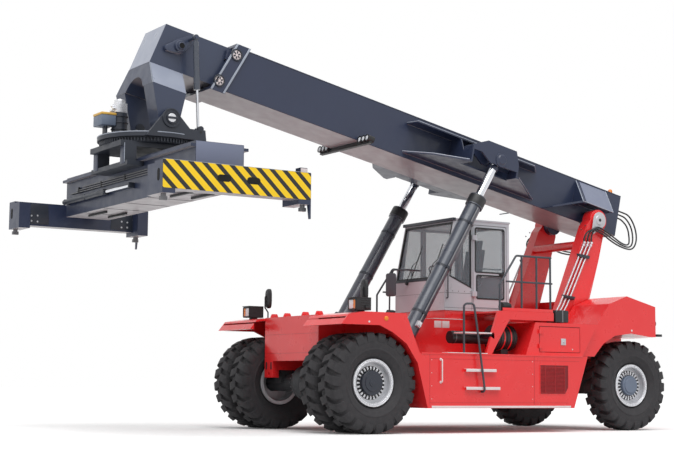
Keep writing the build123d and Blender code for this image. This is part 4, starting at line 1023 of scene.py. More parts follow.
@dataclass
class BoomTrim(Assembly):
    """Collar covers, plate edges, lamp lenses, beacon, rear frame and rope boss of the boom."""

    half: float = 0.47
    low: float = -0.06
    high: float = 0.74
    pulley: tuple[float, float] = (8.924, 0.391)
    pin_cap_y: float = 1.317
    beacon: tuple[float, float, float] = (-0.62, 0.30, 0.74)

    def once(self) -> None:
        """Make the trim that lies across the boom."""
        bolt = self.on_boom().prism(ngon((0, 0), 0.018), 0.0, 0.012, Axis.Z)
        row = Repeat(8, offset=(0.0, 0.115, 0.0)).spread(bolt, STEEL, (7.83, -0.40, 0.78))
        row.piece("collar_bolts", STEEL, "boom")
        welds = self.on_boom()
        for y in (-self.half, self.half):
            for z in (self.low + 0.012, self.high - 0.012):
                lean = -0.30 * (z - self.low) / (self.high - self.low)
                welds.tube([(-0.72, y, z), (7.98 + lean, y, z)], 0.007, sides=8)
        welds.piece("corner_welds", SLATE_PLAIN, "boom")
        # Facet in painted sky reflection on the inner boom's front.
        facet = self.on_boom().prism([(9.206, 0.694), (9.3395, 0.004), (9.3425, 0.005), (9.209, 0.695)], -0.384, 0.384)
        facet.piece("front_facet", SLATE_SKY_REFLECTION, "inner_boom")
        self.lenses()
        self.rear()

    def each(self, side: Side) -> None:
        """Make the trim of one side of both boom sections."""
        self.collar(side)
        self.wings(side)
        self.head(side)

    def collar(self, side: Side) -> None:
        """Petalled covers over the guide pads, and painted highlights along the collar's edges."""
        dark, bright, bars, face = self.on_boom(side), self.on_boom(side), self.on_boom(side), 0.50
        for along, square in ((7.925, 0.592), (8.135, 0.072)):
            centre = (along, face, square)
            bright.lathe([(0, 0.010), (0.070, 0.010), (0.080, 0.004), (0.080, 0), (0, 0)], centre, steps=40)
            dark.lathe([(0.082, 0), (0.082, 0.018), (0.102, 0.018), (0.108, 0)], centre, steps=40)
            petal = self.on_boom(side).prism(oval((0, 0.045), 0.022, 0.012, tall=True), 0.0, 0.004)
            dark = merged([dark, Repeat.ring(6).spread(petal, GRAPHITE, (along, face + 0.010, square))])
        bright.piece("collar_covers_*", PALE, "boom", "rim_paint")
        dark.piece("collar_cover_rings_*", GRAPHITE, "boom")
        for x in (7.993, 8.226):
            bars.prism([(x, -0.106), (x + 0.036, -0.106), (x - 0.264, 0.776), (x - 0.30, 0.776)], 0.498, 0.510)
        bars.piece("collar_edges_*", EDGE, "boom", bevel=0.003)

    def wings(self, side: Side) -> None:
        """Painted highlights along the edges of the outriggers' plates and of the pivot housing, painted light on the
        housing's sloping face, and the rod pin's cap.
        """
        edges = self.on_boom(side)
        for line, radius, bend in (
                (((4.40, 0.475, 0.571), (4.36, 0.771, 0.571), (1.68, 0.771, 0.571), (1.40, 0.475, 0.571)), 0.008, 0.01),
                (((4.39, 0.475, 0.048), (4.05, 0.951, 0.048), (3.54, 1.321, 0.048)), 0.008, 0.01),
                (((1.372, 0.475, 0.048), (2.41, 1.321, 0.048)), 0.005, 0.0),
                (((-0.355, 0.475, 0.706), (-0.355, 0.781, 0.264), (0.415, 0.781, 0.264), (0.415, 0.475, 0.706)),
                 0.008, 0.01)):
            edges.tube(line, radius, bend, 8)
        edges.piece("wing_edges_*", EDGE, "boom")
        # Skin of painted light on the housing's sloping face.
        skin = self.on_boom(side).prism([(0.473, 0.703), (0.779, 0.265), (0.782, 0.268), (0.476, 0.706)], -0.345, 0.33,
                                        Axis.X)
        skin.piece("housing_skin_*", SLATE_PAINTED_LIGHT, "boom")
        cap = [(0, 0.03), (0.075, 0.03), (0.085, 0.02), (0.10, 0.012), (0.13, 0.012), (0.135, 0), (0, 0)]
        pin = self.on_boom(side).lathe(cap, (2.85, self.pin_cap_y, 0.245))
        pin.piece("rod_pin_cap_*", SLATE_PLAIN, "boom", sharp=25)

    def lenses(self) -> None:
        """Hooded lenses of the six work lamps, which look down and forwards."""
        lens, rim = self.on_boom(), self.on_boom()
        for y in (0.535, 0.65, 0.765):
            for hand in (1, -1):
                spot = (5.33, hand * y, -0.05)
                lens.lathe([(0, 0.016), (0.025, 0.013), (0.044, 0.004), (0.046, 0), (0, 0)], spot, Axis.X, 24)
                rim.lathe([(0.047, -0.03), (0.058, -0.03), (0.061, 0.012), (0.047, 0.012)], spot, Axis.X, 24)
        lens.piece("work_lamp_lenses", LENS_WHITE, "boom")
        rim.piece("work_lamp_hoods", BLACK, "boom", "lamp_housing")

    def rear(self) -> None:
        """Frame round the boom's rear end with its bolts, the hose plate and the beacon."""
        self.on_boom().ring(rectangle((-0.40, 0.40), (0, 0.68)), 0.065, -0.765, -0.742, Axis.X).piece(
            "rear_frame", SLATE_PLAIN, "boom", bevel=0.004)
        for z, name in ((-0.032, "low"), (0.712, "high")):
            bolt = self.on_boom().prism(ngon((0, 0), 0.016), 0.0, -0.014, Axis.X)
            Repeat(7, offset=(0.0, 0.13, 0.0)).spread(bolt, STEEL, (-0.765, -0.39, z)).piece(
                f"rear_frame_bolts_{name}", STEEL, "boom")
        plate = self.on_boom().box((-0.768, -0.742), (-0.44, 0.44), (0.30, 0.52))
        plate.piece("hose_plate", GRAPHITE, "boom", bevel=0.006)
        base = [(0, 0), (0.062, 0), (0.062, 0.02), (0.05, 0.03), (0, 0.03)]
        self.on_boom().lathe(base, self.beacon, Axis.Z, 32).piece("beacon_base", BLACK, "boom")
        dome = [(0, 0.03), (0.047, 0.03), (0.045, 0.08), (0.032, 0.105), (0.012, 0.115), (0, 0.116)]
        self.on_boom().lathe(dome, self.beacon, Axis.Z, 32).piece("beacon_dome", LENS_AMBER, "boom", sharp=50)

    def head(self, side: Side) -> None:
        """Rope boss with its fairing and lug on one side of the boom head, and the facet's skin of painted sky
        reflection with its painted edge highlights.
        """
        along, square = self.pulley
        boss = [(0, 0.16), (0.052, 0.16), (0.060, 0.150), (0.062, 0.13), (0.088, 0.13), (0.096, 0.12), (0.096, 0.02),
                (0.115, 0), (0, 0)]
        self.on_boom(side).lathe(boss, (along, 0.39, square)).piece("head_boss_*", SLATE_HEAD, "inner_boom", sharp=25)
        for name, big, far, small, sides, low, high, bevel in (
                ("fairing", 0.115, (along + 0.19, square - 0.08), 0.055, 16, 0.38, 0.465, 0.014),
                ("lug", 0.125, (8.756, 0.575), 0.075, 20, 0.385, 0.415, 0.005)):
            plate = hull(ngon(self.pulley, big, 24) + ngon(far, small, sides))
            self.on_boom(side).prism(plate, low, high).piece(f"head_{name}_*", SLATE_HEAD, "inner_boom", bevel=bevel)
        # Near-black disc of painted shade in the boss's hollow.
        hollow = [(0, 0), (0, 0.002), (0.046, 0.002), (0.046, 0)]
        self.on_boom(side).lathe(hollow, (along, 0.55, square), steps=32).piece(
            "head_boss_hollow_*", HOLLOW, "inner_boom")
        # Flare facet's skin in painted sky reflection.
        flare = [(0.3915, -0.004), (0.6995, -0.396), (0.7025, -0.394), (0.3945, -0.002)]
        self.on_boom(side).prism(flare, 8.752, 9.330, Axis.X).piece("flare_skin_*", SLATE_SKY_REFLECTION, "inner_boom")
        edges = self.on_boom(side).tube([(8.745, 0.701, -0.40), (8.745, 0.392, 0)], 0.005, sides=8)
        edges.tube([(9.34, 0.392, 0), (9.34, 0.701, -0.40)], 0.005, sides=8).piece("head_edges_*", EDGE, "inner_boom")


# ------------------------------------------------------------------ cylinders

@dataclass
class CylinderTrim(Assembly):
    """Gland nuts, feed pipes and ports of the lift cylinders. Sizes in metres."""

    foot: tuple[float, float] = (-1.103, 1.461)
    eye: tuple[float, float] = (-3.1147, 4.737)
    across: float = 1.18
    length: float = 3.04
    collar_at: float = 3.66

    def along(self, side: Side) -> Maker:
        """Maker whose X runs from the foot pin up the cylinder and whose Z looks away from the cab."""
        rise = math.atan2(self.eye[1] - self.foot[1], self.eye[0] - self.foot[0])
        place = Matrix.Translation((self.foot[0], side.value * self.across, self.foot[1]))
        return Maker(self.layout.ground @ place @ Matrix.Rotation(-rise, 4, "Y"), side)

    def each(self, side: Side) -> None:
        """Make the gland, the bands, the pipe and the port of one barrel, and the collar of its rod."""
        body = "lift_barrel_*"
        gland = [(0.080, -0.19), (0.156, -0.19), (0.1585, -0.17), (0.1585, -0.02), (0.150, 0), (0.120, 0.006),
                 (0.095, 0.012), (0.080, 0.012)]
        self.along(side).lathe(gland, (self.length, 0, 0), Axis.X).piece(
            "lift_gland_*", BLACK, body, "barrel_paint", sharp=25)
        bands = self.along(side)
        for x in (0.62, 1.55, 2.48):
            bands.lathe([(0.134, -0.02), (0.139, -0.02), (0.139, 0.02), (0.134, 0.02)], (x, 0, 0), Axis.X)
            bands.box((x - 0.022, x + 0.022), (0.120, 0.178), (-0.03, 0.03))
        bands.piece("lift_pipe_clamps_*", GRAPHITE, body, "barrel_paint", bevel=0.002)
        pipe = self.along(side).tube([(0.42, 0.160, 0), (2.78, 0.160, 0), (2.84, 0.120, 0)], 0.014, 0.03)
        pipe.piece("lift_feed_pipe_*", STEEL, body, "rod_chrome")
        port = self.along(side).box((0.34, 0.44), (0.10, 0.185), (-0.04, 0.04))
        for z in (-0.02, 0.02):
            port.prism(ngon((0.37, z), 0.016), 0.185, 0.20)
        port.piece("lift_port_*", BRIGHT, body, bevel=0.004)
        collar = [(0.077, -0.02), (0.086, -0.02), (0.090, 0), (0.090, 0.04), (0.077, 0.05)]
        self.along(side).lathe(collar, (self.collar_at, 0, 0), Axis.X, 40).piece(
            "lift_rod_collar_*", SLATE_PLAIN, "lift_rod_*", "barrel_paint", sharp=25)


# ------------------------------------------------------------------ cab

@dataclass
class CabTrim(Assembly):
    """Window rubbers, roof edge, wipers, handles, panel joints and cushions of the cab. Sizes in metres."""

    half: float = 0.75
    front: float = -2.28
    rear: float = -3.73
    sill: float = 2.66
    top: float = 3.70
    roof_front: float = -2.50
    rubber: float = 0.026
    proud: float = 0.007
    groove: float = 0.0015
    fill: float = 0.8

    def once(self) -> None:
        """Make the trim of the cab body and of its door."""
        self.rubbers()
        self.door()
        self.screen()
        self.roof()
        self.panels()
        self.seat()
        self.mirror_and_bar()
        skirts = self.ground().ring(rectangle((self.rear + 0.035, self.front - 0.035), (-0.715, 0.715)), 0.02,
                                    1.915, 2.092, Axis.Z)
        skirts.piece("cab_base", RED, bevel=0.004)
        self.ground().box((-2.62, -1.95), (0.60, 0.88), (1.921, 1.935)).piece("cab_tread", PALE, bevel=0.003)

    def rubbers(self) -> None:
        """Black rubbers round the panes in the side and rear walls."""
        window = grown([(-2.41, 2.70), (-2.85, 2.52), (-2.85, 3.62), (-2.56, 3.62)], -0.004)
        maker = self.ground().ring(window, self.rubber, self.half - 0.02, self.half + self.proud).mirrored()
        maker.ring(rectangle((-3.64, -2.935), (2.76, 3.62)), self.rubber, -self.half - self.proud, -self.half + 0.02)
        maker.ring(rectangle((-0.62, 0.62), (2.76, 3.62)), self.rubber, self.rear - self.proud, self.rear + 0.02,
                   Axis.X)
        maker.piece("window_rubbers", BLACK, bevel=0.002)

    def door(self) -> None:
        """Rubbers, edge joint, handle and inner bar of the door."""
        y, body, maker = self.half, "cab_door", self.ground()
        for x, z in (((-3.602, -2.973), (2.80, 3.562)), ((-3.592, -3.003), (2.33, 2.72))):
            maker.ring(rectangle(x, z, 0.02), self.rubber, y - 0.02, y + self.proud)
        maker.piece("door_rubbers", BLACK, body, bevel=0.002)
        joint = self.ground().ring(rectangle((-3.660, -2.915), (2.16, 3.62), 0.03), 0.007, y - 0.01, y + 0.002)
        joint.piece("door_joint", RAIL, body, "black_plastic")
        handle = self.ground().box((-3.63, -3.50), (y, y + 0.012), (2.745, 2.785))
        handle.tube([(-3.60, y + 0.01, 2.765), (-3.60, y + 0.04, 2.765), (-3.50, y + 0.04, 2.765),
                     (-3.50, y + 0.01, 2.765)], 0.009, 0.02, 10)
        handle.piece("door_handle", BLACK, body, bevel=0.002)
        bar = self.ground().tube([(-3.57, 0.715, 2.86), (-3.57, 0.66, 2.86), (-3.03, 0.66, 2.86), (-3.03, 0.715, 2.86)],
                                 0.012, 0.03, 10)
        bar.piece("door_inner_bar", RAIL, body)

    def on_screen(self) -> Maker:
        """Maker whose Z climbs the sloping windscreen and whose X looks out of it."""
        lean = math.atan2(self.front - self.roof_front, self.top - self.sill)
        place = Matrix.Translation((self.front, 0, self.sill)) @ Matrix.Rotation(-lean, 4, "Y")
        return Maker(self.layout.ground @ place)

    def screen(self) -> None:
        """Rubber, wipers and sill of the windscreen."""
        self.on_screen().ring(rectangle((-0.69, 0.69), (0.034, 0.985)), 0.03, -0.03, 0.006, Axis.X).piece(
            "screen_rubber", BLACK, bevel=0.002)
        wipers = self.on_screen()
        for foot, tip in ((-0.35, -0.10), (0.30, 0.52)):
            elbow = (0.045, (foot + tip) / 2, 0.26)
            wipers.lathe([(0, 0), (0.03, 0), (0.026, 0.04), (0, 0.045)], (0, foot, -0.06), Axis.X, 20)
            wipers.tube([(0.035, foot, -0.06), elbow], 0.008, sides=8)
            wipers.tube([(0.018, tip - 0.12, 0.06), (0.018, tip + 0.04, 0.62)], 0.009, sides=8)
            wipers.tube([elbow, (0.026, tip - 0.04, 0.34)], 0.006, sides=8)
        wipers.piece("wipers", BLACK)
        strip = self.ground().box((self.front - 0.02, self.front + 0.006), (-0.75, 0.75), (2.628, 2.664))
        strip.piece("screen_sill", GRAPHITE, slot="black_plastic", bevel=0.003)

    def roof(self) -> None:
        """Thin roof skin with a rain lip all round, dark at the front."""
        x, y = self.roof_front, self.half
        outline = grown([(x, -y), (x, y), (self.rear, y), (self.rear, -y)], 0.018)
        self.ground().prism(outline, self.top - 0.012, self.top + 0.022, Axis.Z).piece(
            "roof_skin", CAB_GREY, bevel=0.010)
        lip = self.ground().box((x - 0.02, x + 0.045), (-0.77, 0.77), (3.672, 3.728))
        lip.piece("roof_lip", GRAPHITE, slot="black_plastic", bevel=0.006)

    def panels(self) -> None:
        """Joints and screws of the cab's lower panels."""
        wall, face = (self.half, self.half + self.groove), (self.front, self.front + self.groove)
        maker = self.ground().boxes(((-2.90, -2.285), wall, (2.395, 2.400)), ((-2.885, -2.880), wall, (2.10, 2.50)),
                                    ((-3.72, -2.285), wall, (2.135, 2.140))).mirrored()
        maker.boxes((face, (-0.74, 0.74), (2.395, 2.400)), (face, (-0.003, 0.003), (2.10, 2.395)))
        maker.piece("cab_panel_joints", RAIL, slot="cab_paint")
        screw = self.ground().lathe([(0, 0), (0.009, 0), (0.007, 0.004), (0, 0.005)], (0, 0, 0), Axis.Y, 10)
        Repeat(5, offset=(-0.13, 0.0, 0.0)).spread(screw, STEEL, (-2.33, self.half, 2.43)).piece("cab_screws", STEEL)

    def seat(self) -> None:
        """Padded cushion and back that lie on the CAD seat."""
        for name, centre, size, lean in (("seat_cushion", (-3.17, 0, 2.625), (0.25, 0.245, 0.055), 0.0),
                                         ("seat_back", (-3.475, 0, 2.93), (0.055, 0.225, 0.32), -0.30)):
            place = self.layout.ground @ Matrix.Translation(centre) @ Matrix.Rotation(lean, 4, "Y")
            pillow(Maker(place), size).piece(name, CLOTH, sharp=60)

    def mirror_and_bar(self) -> None:
        """Mirror on its bent tube in front of the cab, and the grab bar at the front left corner."""
        tube = self.ground().tube([(-2.27, 0.05, 2.82), (-2.10, -0.10, 2.84), (-2.02, -0.44, 2.85),
                                   (-2.02, -0.55, 2.70), (-2.02, -0.57, 1.93)], 0.015, 0.06)
        tube.piece("cab_mirror_tube", RAIL)
        turn = Matrix.Translation((-1.99, -0.47, 2.58)) @ Matrix.Rotation(math.radians(28), 4, "Z")
        place = self.layout.ground @ turn
        Maker(place).prism(rectangle((-0.10, 0.10), (-0.21, 0.21), 0.04), -0.02, 0.03, Axis.X).piece(
            "cab_mirror_head", MIRROR_GREY, bevel=0.014)
        Maker(place).prism(rectangle((-0.085, 0.085), (-0.19, 0.19), 0.03), -0.0225, -0.019, Axis.X).piece(
            "cab_mirror_glass", CHROME, slot="window_glass")
        bar = self.ground().tube([(-2.32, 0.755, 2.30), (-2.32, 0.80, 2.30), (-2.32, 0.80, 2.75), (-2.36, 0.755, 2.75)],
                                 0.011, 0.03, 10)
        bar.piece("cab_grab_bar", RAIL)


def pillow(maker: Maker, size: Point, rows: int = 20, steps: int = 40) -> Maker:
    """Crowned cushion with soft corners and a stitched seam round its widest line.

    Args:
        maker: receives the cushion, centred on its origin.
        size: half sizes along X, Y and Z.
        rows: rings from pole to pole.
        steps: points in each ring.

    Returns:
        The same maker.
    """
    thin = min(range(3), key=lambda i: size[i])
    first, second = (i for i in range(3) if i != thin)
    rings = []
    for r in range(rows + 1):
        v = -math.pi / 2 + math.pi * r / rows
        spread = soft(math.cos, v, 0.45) * (1.0 - 0.03 * math.exp(-(v / 0.12) ** 2))
        ring = []
        for u in (math.tau * k / steps for k in range(1 if r in (0, rows) else steps)):
            spot = [0.0, 0.0, 0.0]
            spot[first] = size[first] * spread * soft(math.cos, u, 0.4)
            spot[second] = size[second] * spread * soft(math.sin, u, 0.4)
            spot[thin] = size[thin] * soft(math.sin, v, 0.8)
            ring.append(spot)
        rings.append(ring)
    return maker.loft(rings)


# ------------------------------------------------------------------ chassis

@dataclass
class BodyTrim(Assembly):
    """Joints, steps, grille, plates, handles and small lamps of the body sides. Sizes in metres."""

    face: float = 2.05
    door_face: float = 1.90
    cleaner: tuple[float, float] = (1.50, 1.60)

    def once(self) -> None:
        """Make the trim of the chassis."""
        y = self.face
        # name, finish, slot, bevel, boxes as (low, high) in X, Y and Z; each is mirrored
        for name, finish, slot, bevel, places in (
                ("box_edge", RED, "", 0.004, [((-4.30, -0.85), (y - 0.01, y + 0.010), (1.282, 1.306))]),
                ("box_tread", PALE, "", 0.003, [((-2.20, -1.38), (y - 0.16, y + 0.013), (1.306, 1.318))]),
                ("sill_strip", PALE, "red_paint", 0.001, [((-4.02, -1.06), (y, y + 0.004), (0.414, 0.450))]),
                ("blank_plates", PALE, "", 0.002, [((x, x + 0.155), (0.879, 0.884), (1.77, 1.89))
                                                   for x in (-2.29, -2.12)]),
                ("battery_box", BLACK, "", 0.012, [((-4.12, -3.82), (1.66, 1.90), (1.885, 2.095))]),
                ("battery_strap", STEEL, "", 0.002, [((-3.995, -3.965), (1.655, 1.906), (1.885, 2.10))]),
                ("toe_edge", RED, "", 0.002, [((-3.78, -2.67), (1.872, 1.884), (2.046, 2.10))]),
                ("corner_lamps", BLACK, "lamp_housing", 0.006, [((-6.46, -6.34), (1.74, 1.806), (1.70, 1.745))]),
                ("side_joints", DARK_RED, "", 0.0,
                 [((x - 0.0025, x + 0.0025), (y, y + 0.0012), (0.46, 1.28)) for x in (-1.02, -3.21)]
                 + [((x, -1.02), (y, y + 0.0012), (z - 0.002, z + 0.002)) for x, z in ((-4.22, 1.21), (-3.98, 0.50))])):
            self.ground().boxes(*places).mirrored().piece(name, finish, slot=slot, bevel=bevel)
        joints = self.ground().boxes(*(((0.379, 0.3812), (-0.86, 0.86), (z - 0.002, z + 0.002)) for z in (1.30, 1.62)))
        joints.piece("front_joints", DARK_RED)
        self.steps()
        self.grille()
        self.round_parts()
        self.front()
        self.air_cleaner()

    def steps(self) -> None:
        """Pale edges and open treads of the boarding steps."""
        y, edges, treads = self.face, self.ground(), self.ground()
        for z, rear in ((1.03, -2.34), (0.735, -2.42)):
            reach = (rear - 0.004, -1.716)
            edges.boxes((reach, (y + 0.058, y + 0.066), (z - 0.024, z + 0.024)),
                        (reach, (y - 0.004, y + 0.06), (z + 0.018, z + 0.025)))
            for k in range(9):
                x = rear + 0.05 + k * (abs(rear + 1.72) - 0.10) / 8
                treads.prism(oval((x, y + 0.031), 0.018, 0.007, tall=True), z + 0.0245, z + 0.027, Axis.Z)
        edges.box((-2.47, -1.83), (1.62, 1.90), (1.645, 1.668))
        treads.prism([(-2.47, 1.645), (-2.40, 1.645), (-2.40, 1.60), (-2.47, 1.56)], 1.62, 1.90)
        edges.mirrored().piece("step_plates", PALE, bevel=0.002)
        # The dark ovals in the treads are painted shade seen through the holes.
        treads.mirrored().piece("step_holes", GRAPHITE, slot="black_plastic")

    def grille(self) -> None:
        """Cooling grille with its frame and slats, its lower rear corner cut off."""
        y, (x0, x1), (z0, z1) = self.face, (-3.96, -3.34), (0.655, 1.135)
        outline = [(x0, z1), (x1, z1), (x1, z0), (-3.894, z0), (x0, 0.763)]
        # The grille's back in darker red is painted shade behind the slats.
        self.ground().prism(outline, y, y + 0.003).mirrored().piece("grille_back", GRILLE)
        self.ground().ring(outline, 0.014, y, y + 0.008).mirrored().piece("grille_frame", RED, bevel=0.002)
        slat = self.ground().prism([(y + 0.002, -0.006), (y + 0.012, -0.010), (y + 0.012, -0.005), (y + 0.002, 0.004)],
                                   -3.885, x1 - 0.004, Axis.X)
        slats = Repeat(20, offset=(0.0, 0.0, 0.0225)).spread(slat, DARK_RED, (0.0, 0.0, z0 + 0.024))
        slats.boxes(*(((x - 0.005, x + 0.005), (y + 0.002, y + 0.013), (z0 + 0.01, z1 - 0.006))
                      for x in (-3.88, -3.67, -3.45)))
        slats.mirrored().piece("grille_slats", DARK_RED)

    def round_parts(self) -> None:
        """Rivets, grab handle, markers, dots, the drum on the deck and the tail lamps."""
        y = self.face
        rows = [Repeat(4, offset=(0.0, 0.0, 0.21)).spread(
            self.ground().lathe([(0, 0), (0.008, 0), (0.006, 0.003), (0, 0.004)], (0, 0, 0), Axis.Y, 10), RED,
            (x, y, 0.56)) for x in (-1.06, -3.17)]
        merged(rows).mirrored().piece("side_rivets", PALE, slot="red_paint")
        handle = self.ground().tube([(-1.24, y - 0.005, 1.20), (-1.24, y + 0.045, 1.20), (-1.24, y + 0.045, 0.83),
                                     (-1.24, y - 0.005, 0.83)], 0.011, 0.03)
        for z in (0.83, 1.20):
            handle.lathe([(0, 0), (0.024, 0), (0.022, 0.006), (0, 0.006)], (-1.24, y, z), steps=20)
        handle.mirrored().piece("grab_handle", PALE)
        markers = self.ground().lathe([(0, 0.022), (0.02, 0.020), (0.036, 0.010), (0.040, 0), (0, 0)],
                                      (-0.165, y, 1.83), steps=24)
        markers.mirrored().piece("side_markers", LENS_AMBER)
        dots = self.ground()
        for centre, r in (((0.16, y, 1.77), 0.018), ((-4.20, self.door_face, 1.42), 0.014)):
            dots.lathe([(0, 0.006), (r * 0.8, 0.005), (r, 0), (0, 0)], centre, steps=20)
        dots.mirrored().piece("bright_dots", PALE)
        hood = self.ground().lathe([(0, 0.006), (0.016, 0.005), (0.020, 0), (0, 0)], (-5.71, 1.80, 1.793), steps=20)
        hood.mirrored().piece("hood_dots", PALE)
        drum = self.ground().lathe([(0, -0.10), (0.06, -0.09), (0.075, -0.03), (0.075, 0.09), (0.055, 0.10), (0, 0.10)],
                                   (-2.86, 1.71, 2.13), Axis.X, 32)
        drum.box((-2.90, -2.82), (1.67, 1.75), (2.048, 2.09)).mirrored().piece("deck_drum", BLACK, sharp=30)
        rims, lamps = self.ground(), self.ground()
        for place in (1.10, 1.24, 1.38):
            centre = (-6.655, place, 1.96)
            rims.lathe([(0, 0), (0.062, 0), (0.062, -0.02), (0.05, -0.028), (0, -0.028)], centre, Axis.X, 28)
            lamps.lathe([(0, -0.045), (0.03, -0.042), (0.048, -0.028), (0, -0.026)], centre, Axis.X, 28)
        rims.mirrored().piece("tail_lamp_rims", BLACK, slot="lamp_housing")
        lamps.mirrored().piece("tail_lamp_lenses", LENS_RED)

    def front(self) -> None:
        """Lashing lugs and slots of the front end, and the studs of its axle."""
        lugs, slots = self.ground(), self.ground()
        for y in (0.30, 0.74):
            lugs.prism([(0.20, 1.915), (0.36, 1.915), (0.33, 1.985), (0.23, 1.985)], y - 0.02, y + 0.02)
        lugs.mirrored().piece("lashing_lugs", RED, bevel=0.008)
        # The slots are black ovals of painted shade.
        for y in (0.66, 0.82):
            slots.prism(oval((y, 1.09), 0.065, 0.022, tall=True), 0.378, 0.3815, Axis.X)
        slots.mirrored().piece("front_slots", BLACK)
        stud = self.ground().prism(ngon((0.215, 0), 0.018), 0.0, 0.016)
        studs = Repeat.ring(18).spread(stud, STEEL, (0.0, 0.268, AXLE_Z))
        studs.mirrored().piece("axle_studs", STEEL, slot="axle_paint")

    def air_cleaner(self) -> None:
        """Ribs and bands of the air cleaner and clips of its intake."""
        y, z = self.cleaner
        ribs = self.bands(0.214, (0.014, 0.012, 0.010), z, (-3.06, -2.92, -2.78), 56)
        ribs.lathe([(0, -0.03), (0.15, -0.03), (0.19, 0), (0, 0)], (-3.12, y, z), Axis.X)
        ribs.piece("cleaner_ribs", BLACK, sharp=30)
        self.bands(0.214, (0.012, 0.008, 0.012), z, (-2.99, -2.85), 56).piece("cleaner_bands", RED)
        self.bands(0.104, (0.010, 0.006, 0.010), z - 0.01, (-2.62, -1.90), 40).piece("intake_clips", STEEL)

    def bands(self, radius: float, section: Point, z: float, places: Sequence[float], steps: int) -> Maker:
        """Raised bands round a drum that lies along the machine.

        Args:
            radius: radius of the drum.
            section: half width at the foot, height and half width at the top.
            z: height of the drum's axis.
            places: X of each band.
            steps: sides of the turned shape.

        Returns:
            The maker that holds the bands.
        """
        foot, height, top = section
        maker, outer = self.ground(), radius + height
        for x in places:
            maker.lathe([(radius, -foot), (outer, -top), (outer, top), (radius, foot)],
                        (x, self.cleaner[0], z), Axis.X, steps)
        return maker

    def each(self, side: Side) -> None:
        """Latch and edge joint of one engine door."""
        y, body = self.door_face, "engine_door_*"
        latch = self.ground(side).box((-4.045, -3.935), (y, y + 0.012), (1.49, 1.605))
        latch.lathe([(0, 0.030), (0.016, 0.030), (0.020, 0), (0, 0)], (-3.99, y, 1.548), steps=20)
        latch.piece("engine_door_latch_*", SILVER, body, bevel=0.004)
        joint = self.ground(side).ring(rectangle((-4.368, -3.462), (1.372, 1.798), 0.02), 0.006, y - 0.005, y + 0.002)
        joint.piece("engine_door_joint_*", DARK_RED, body)


# ------------------------------------------------------------------ tower and hoses

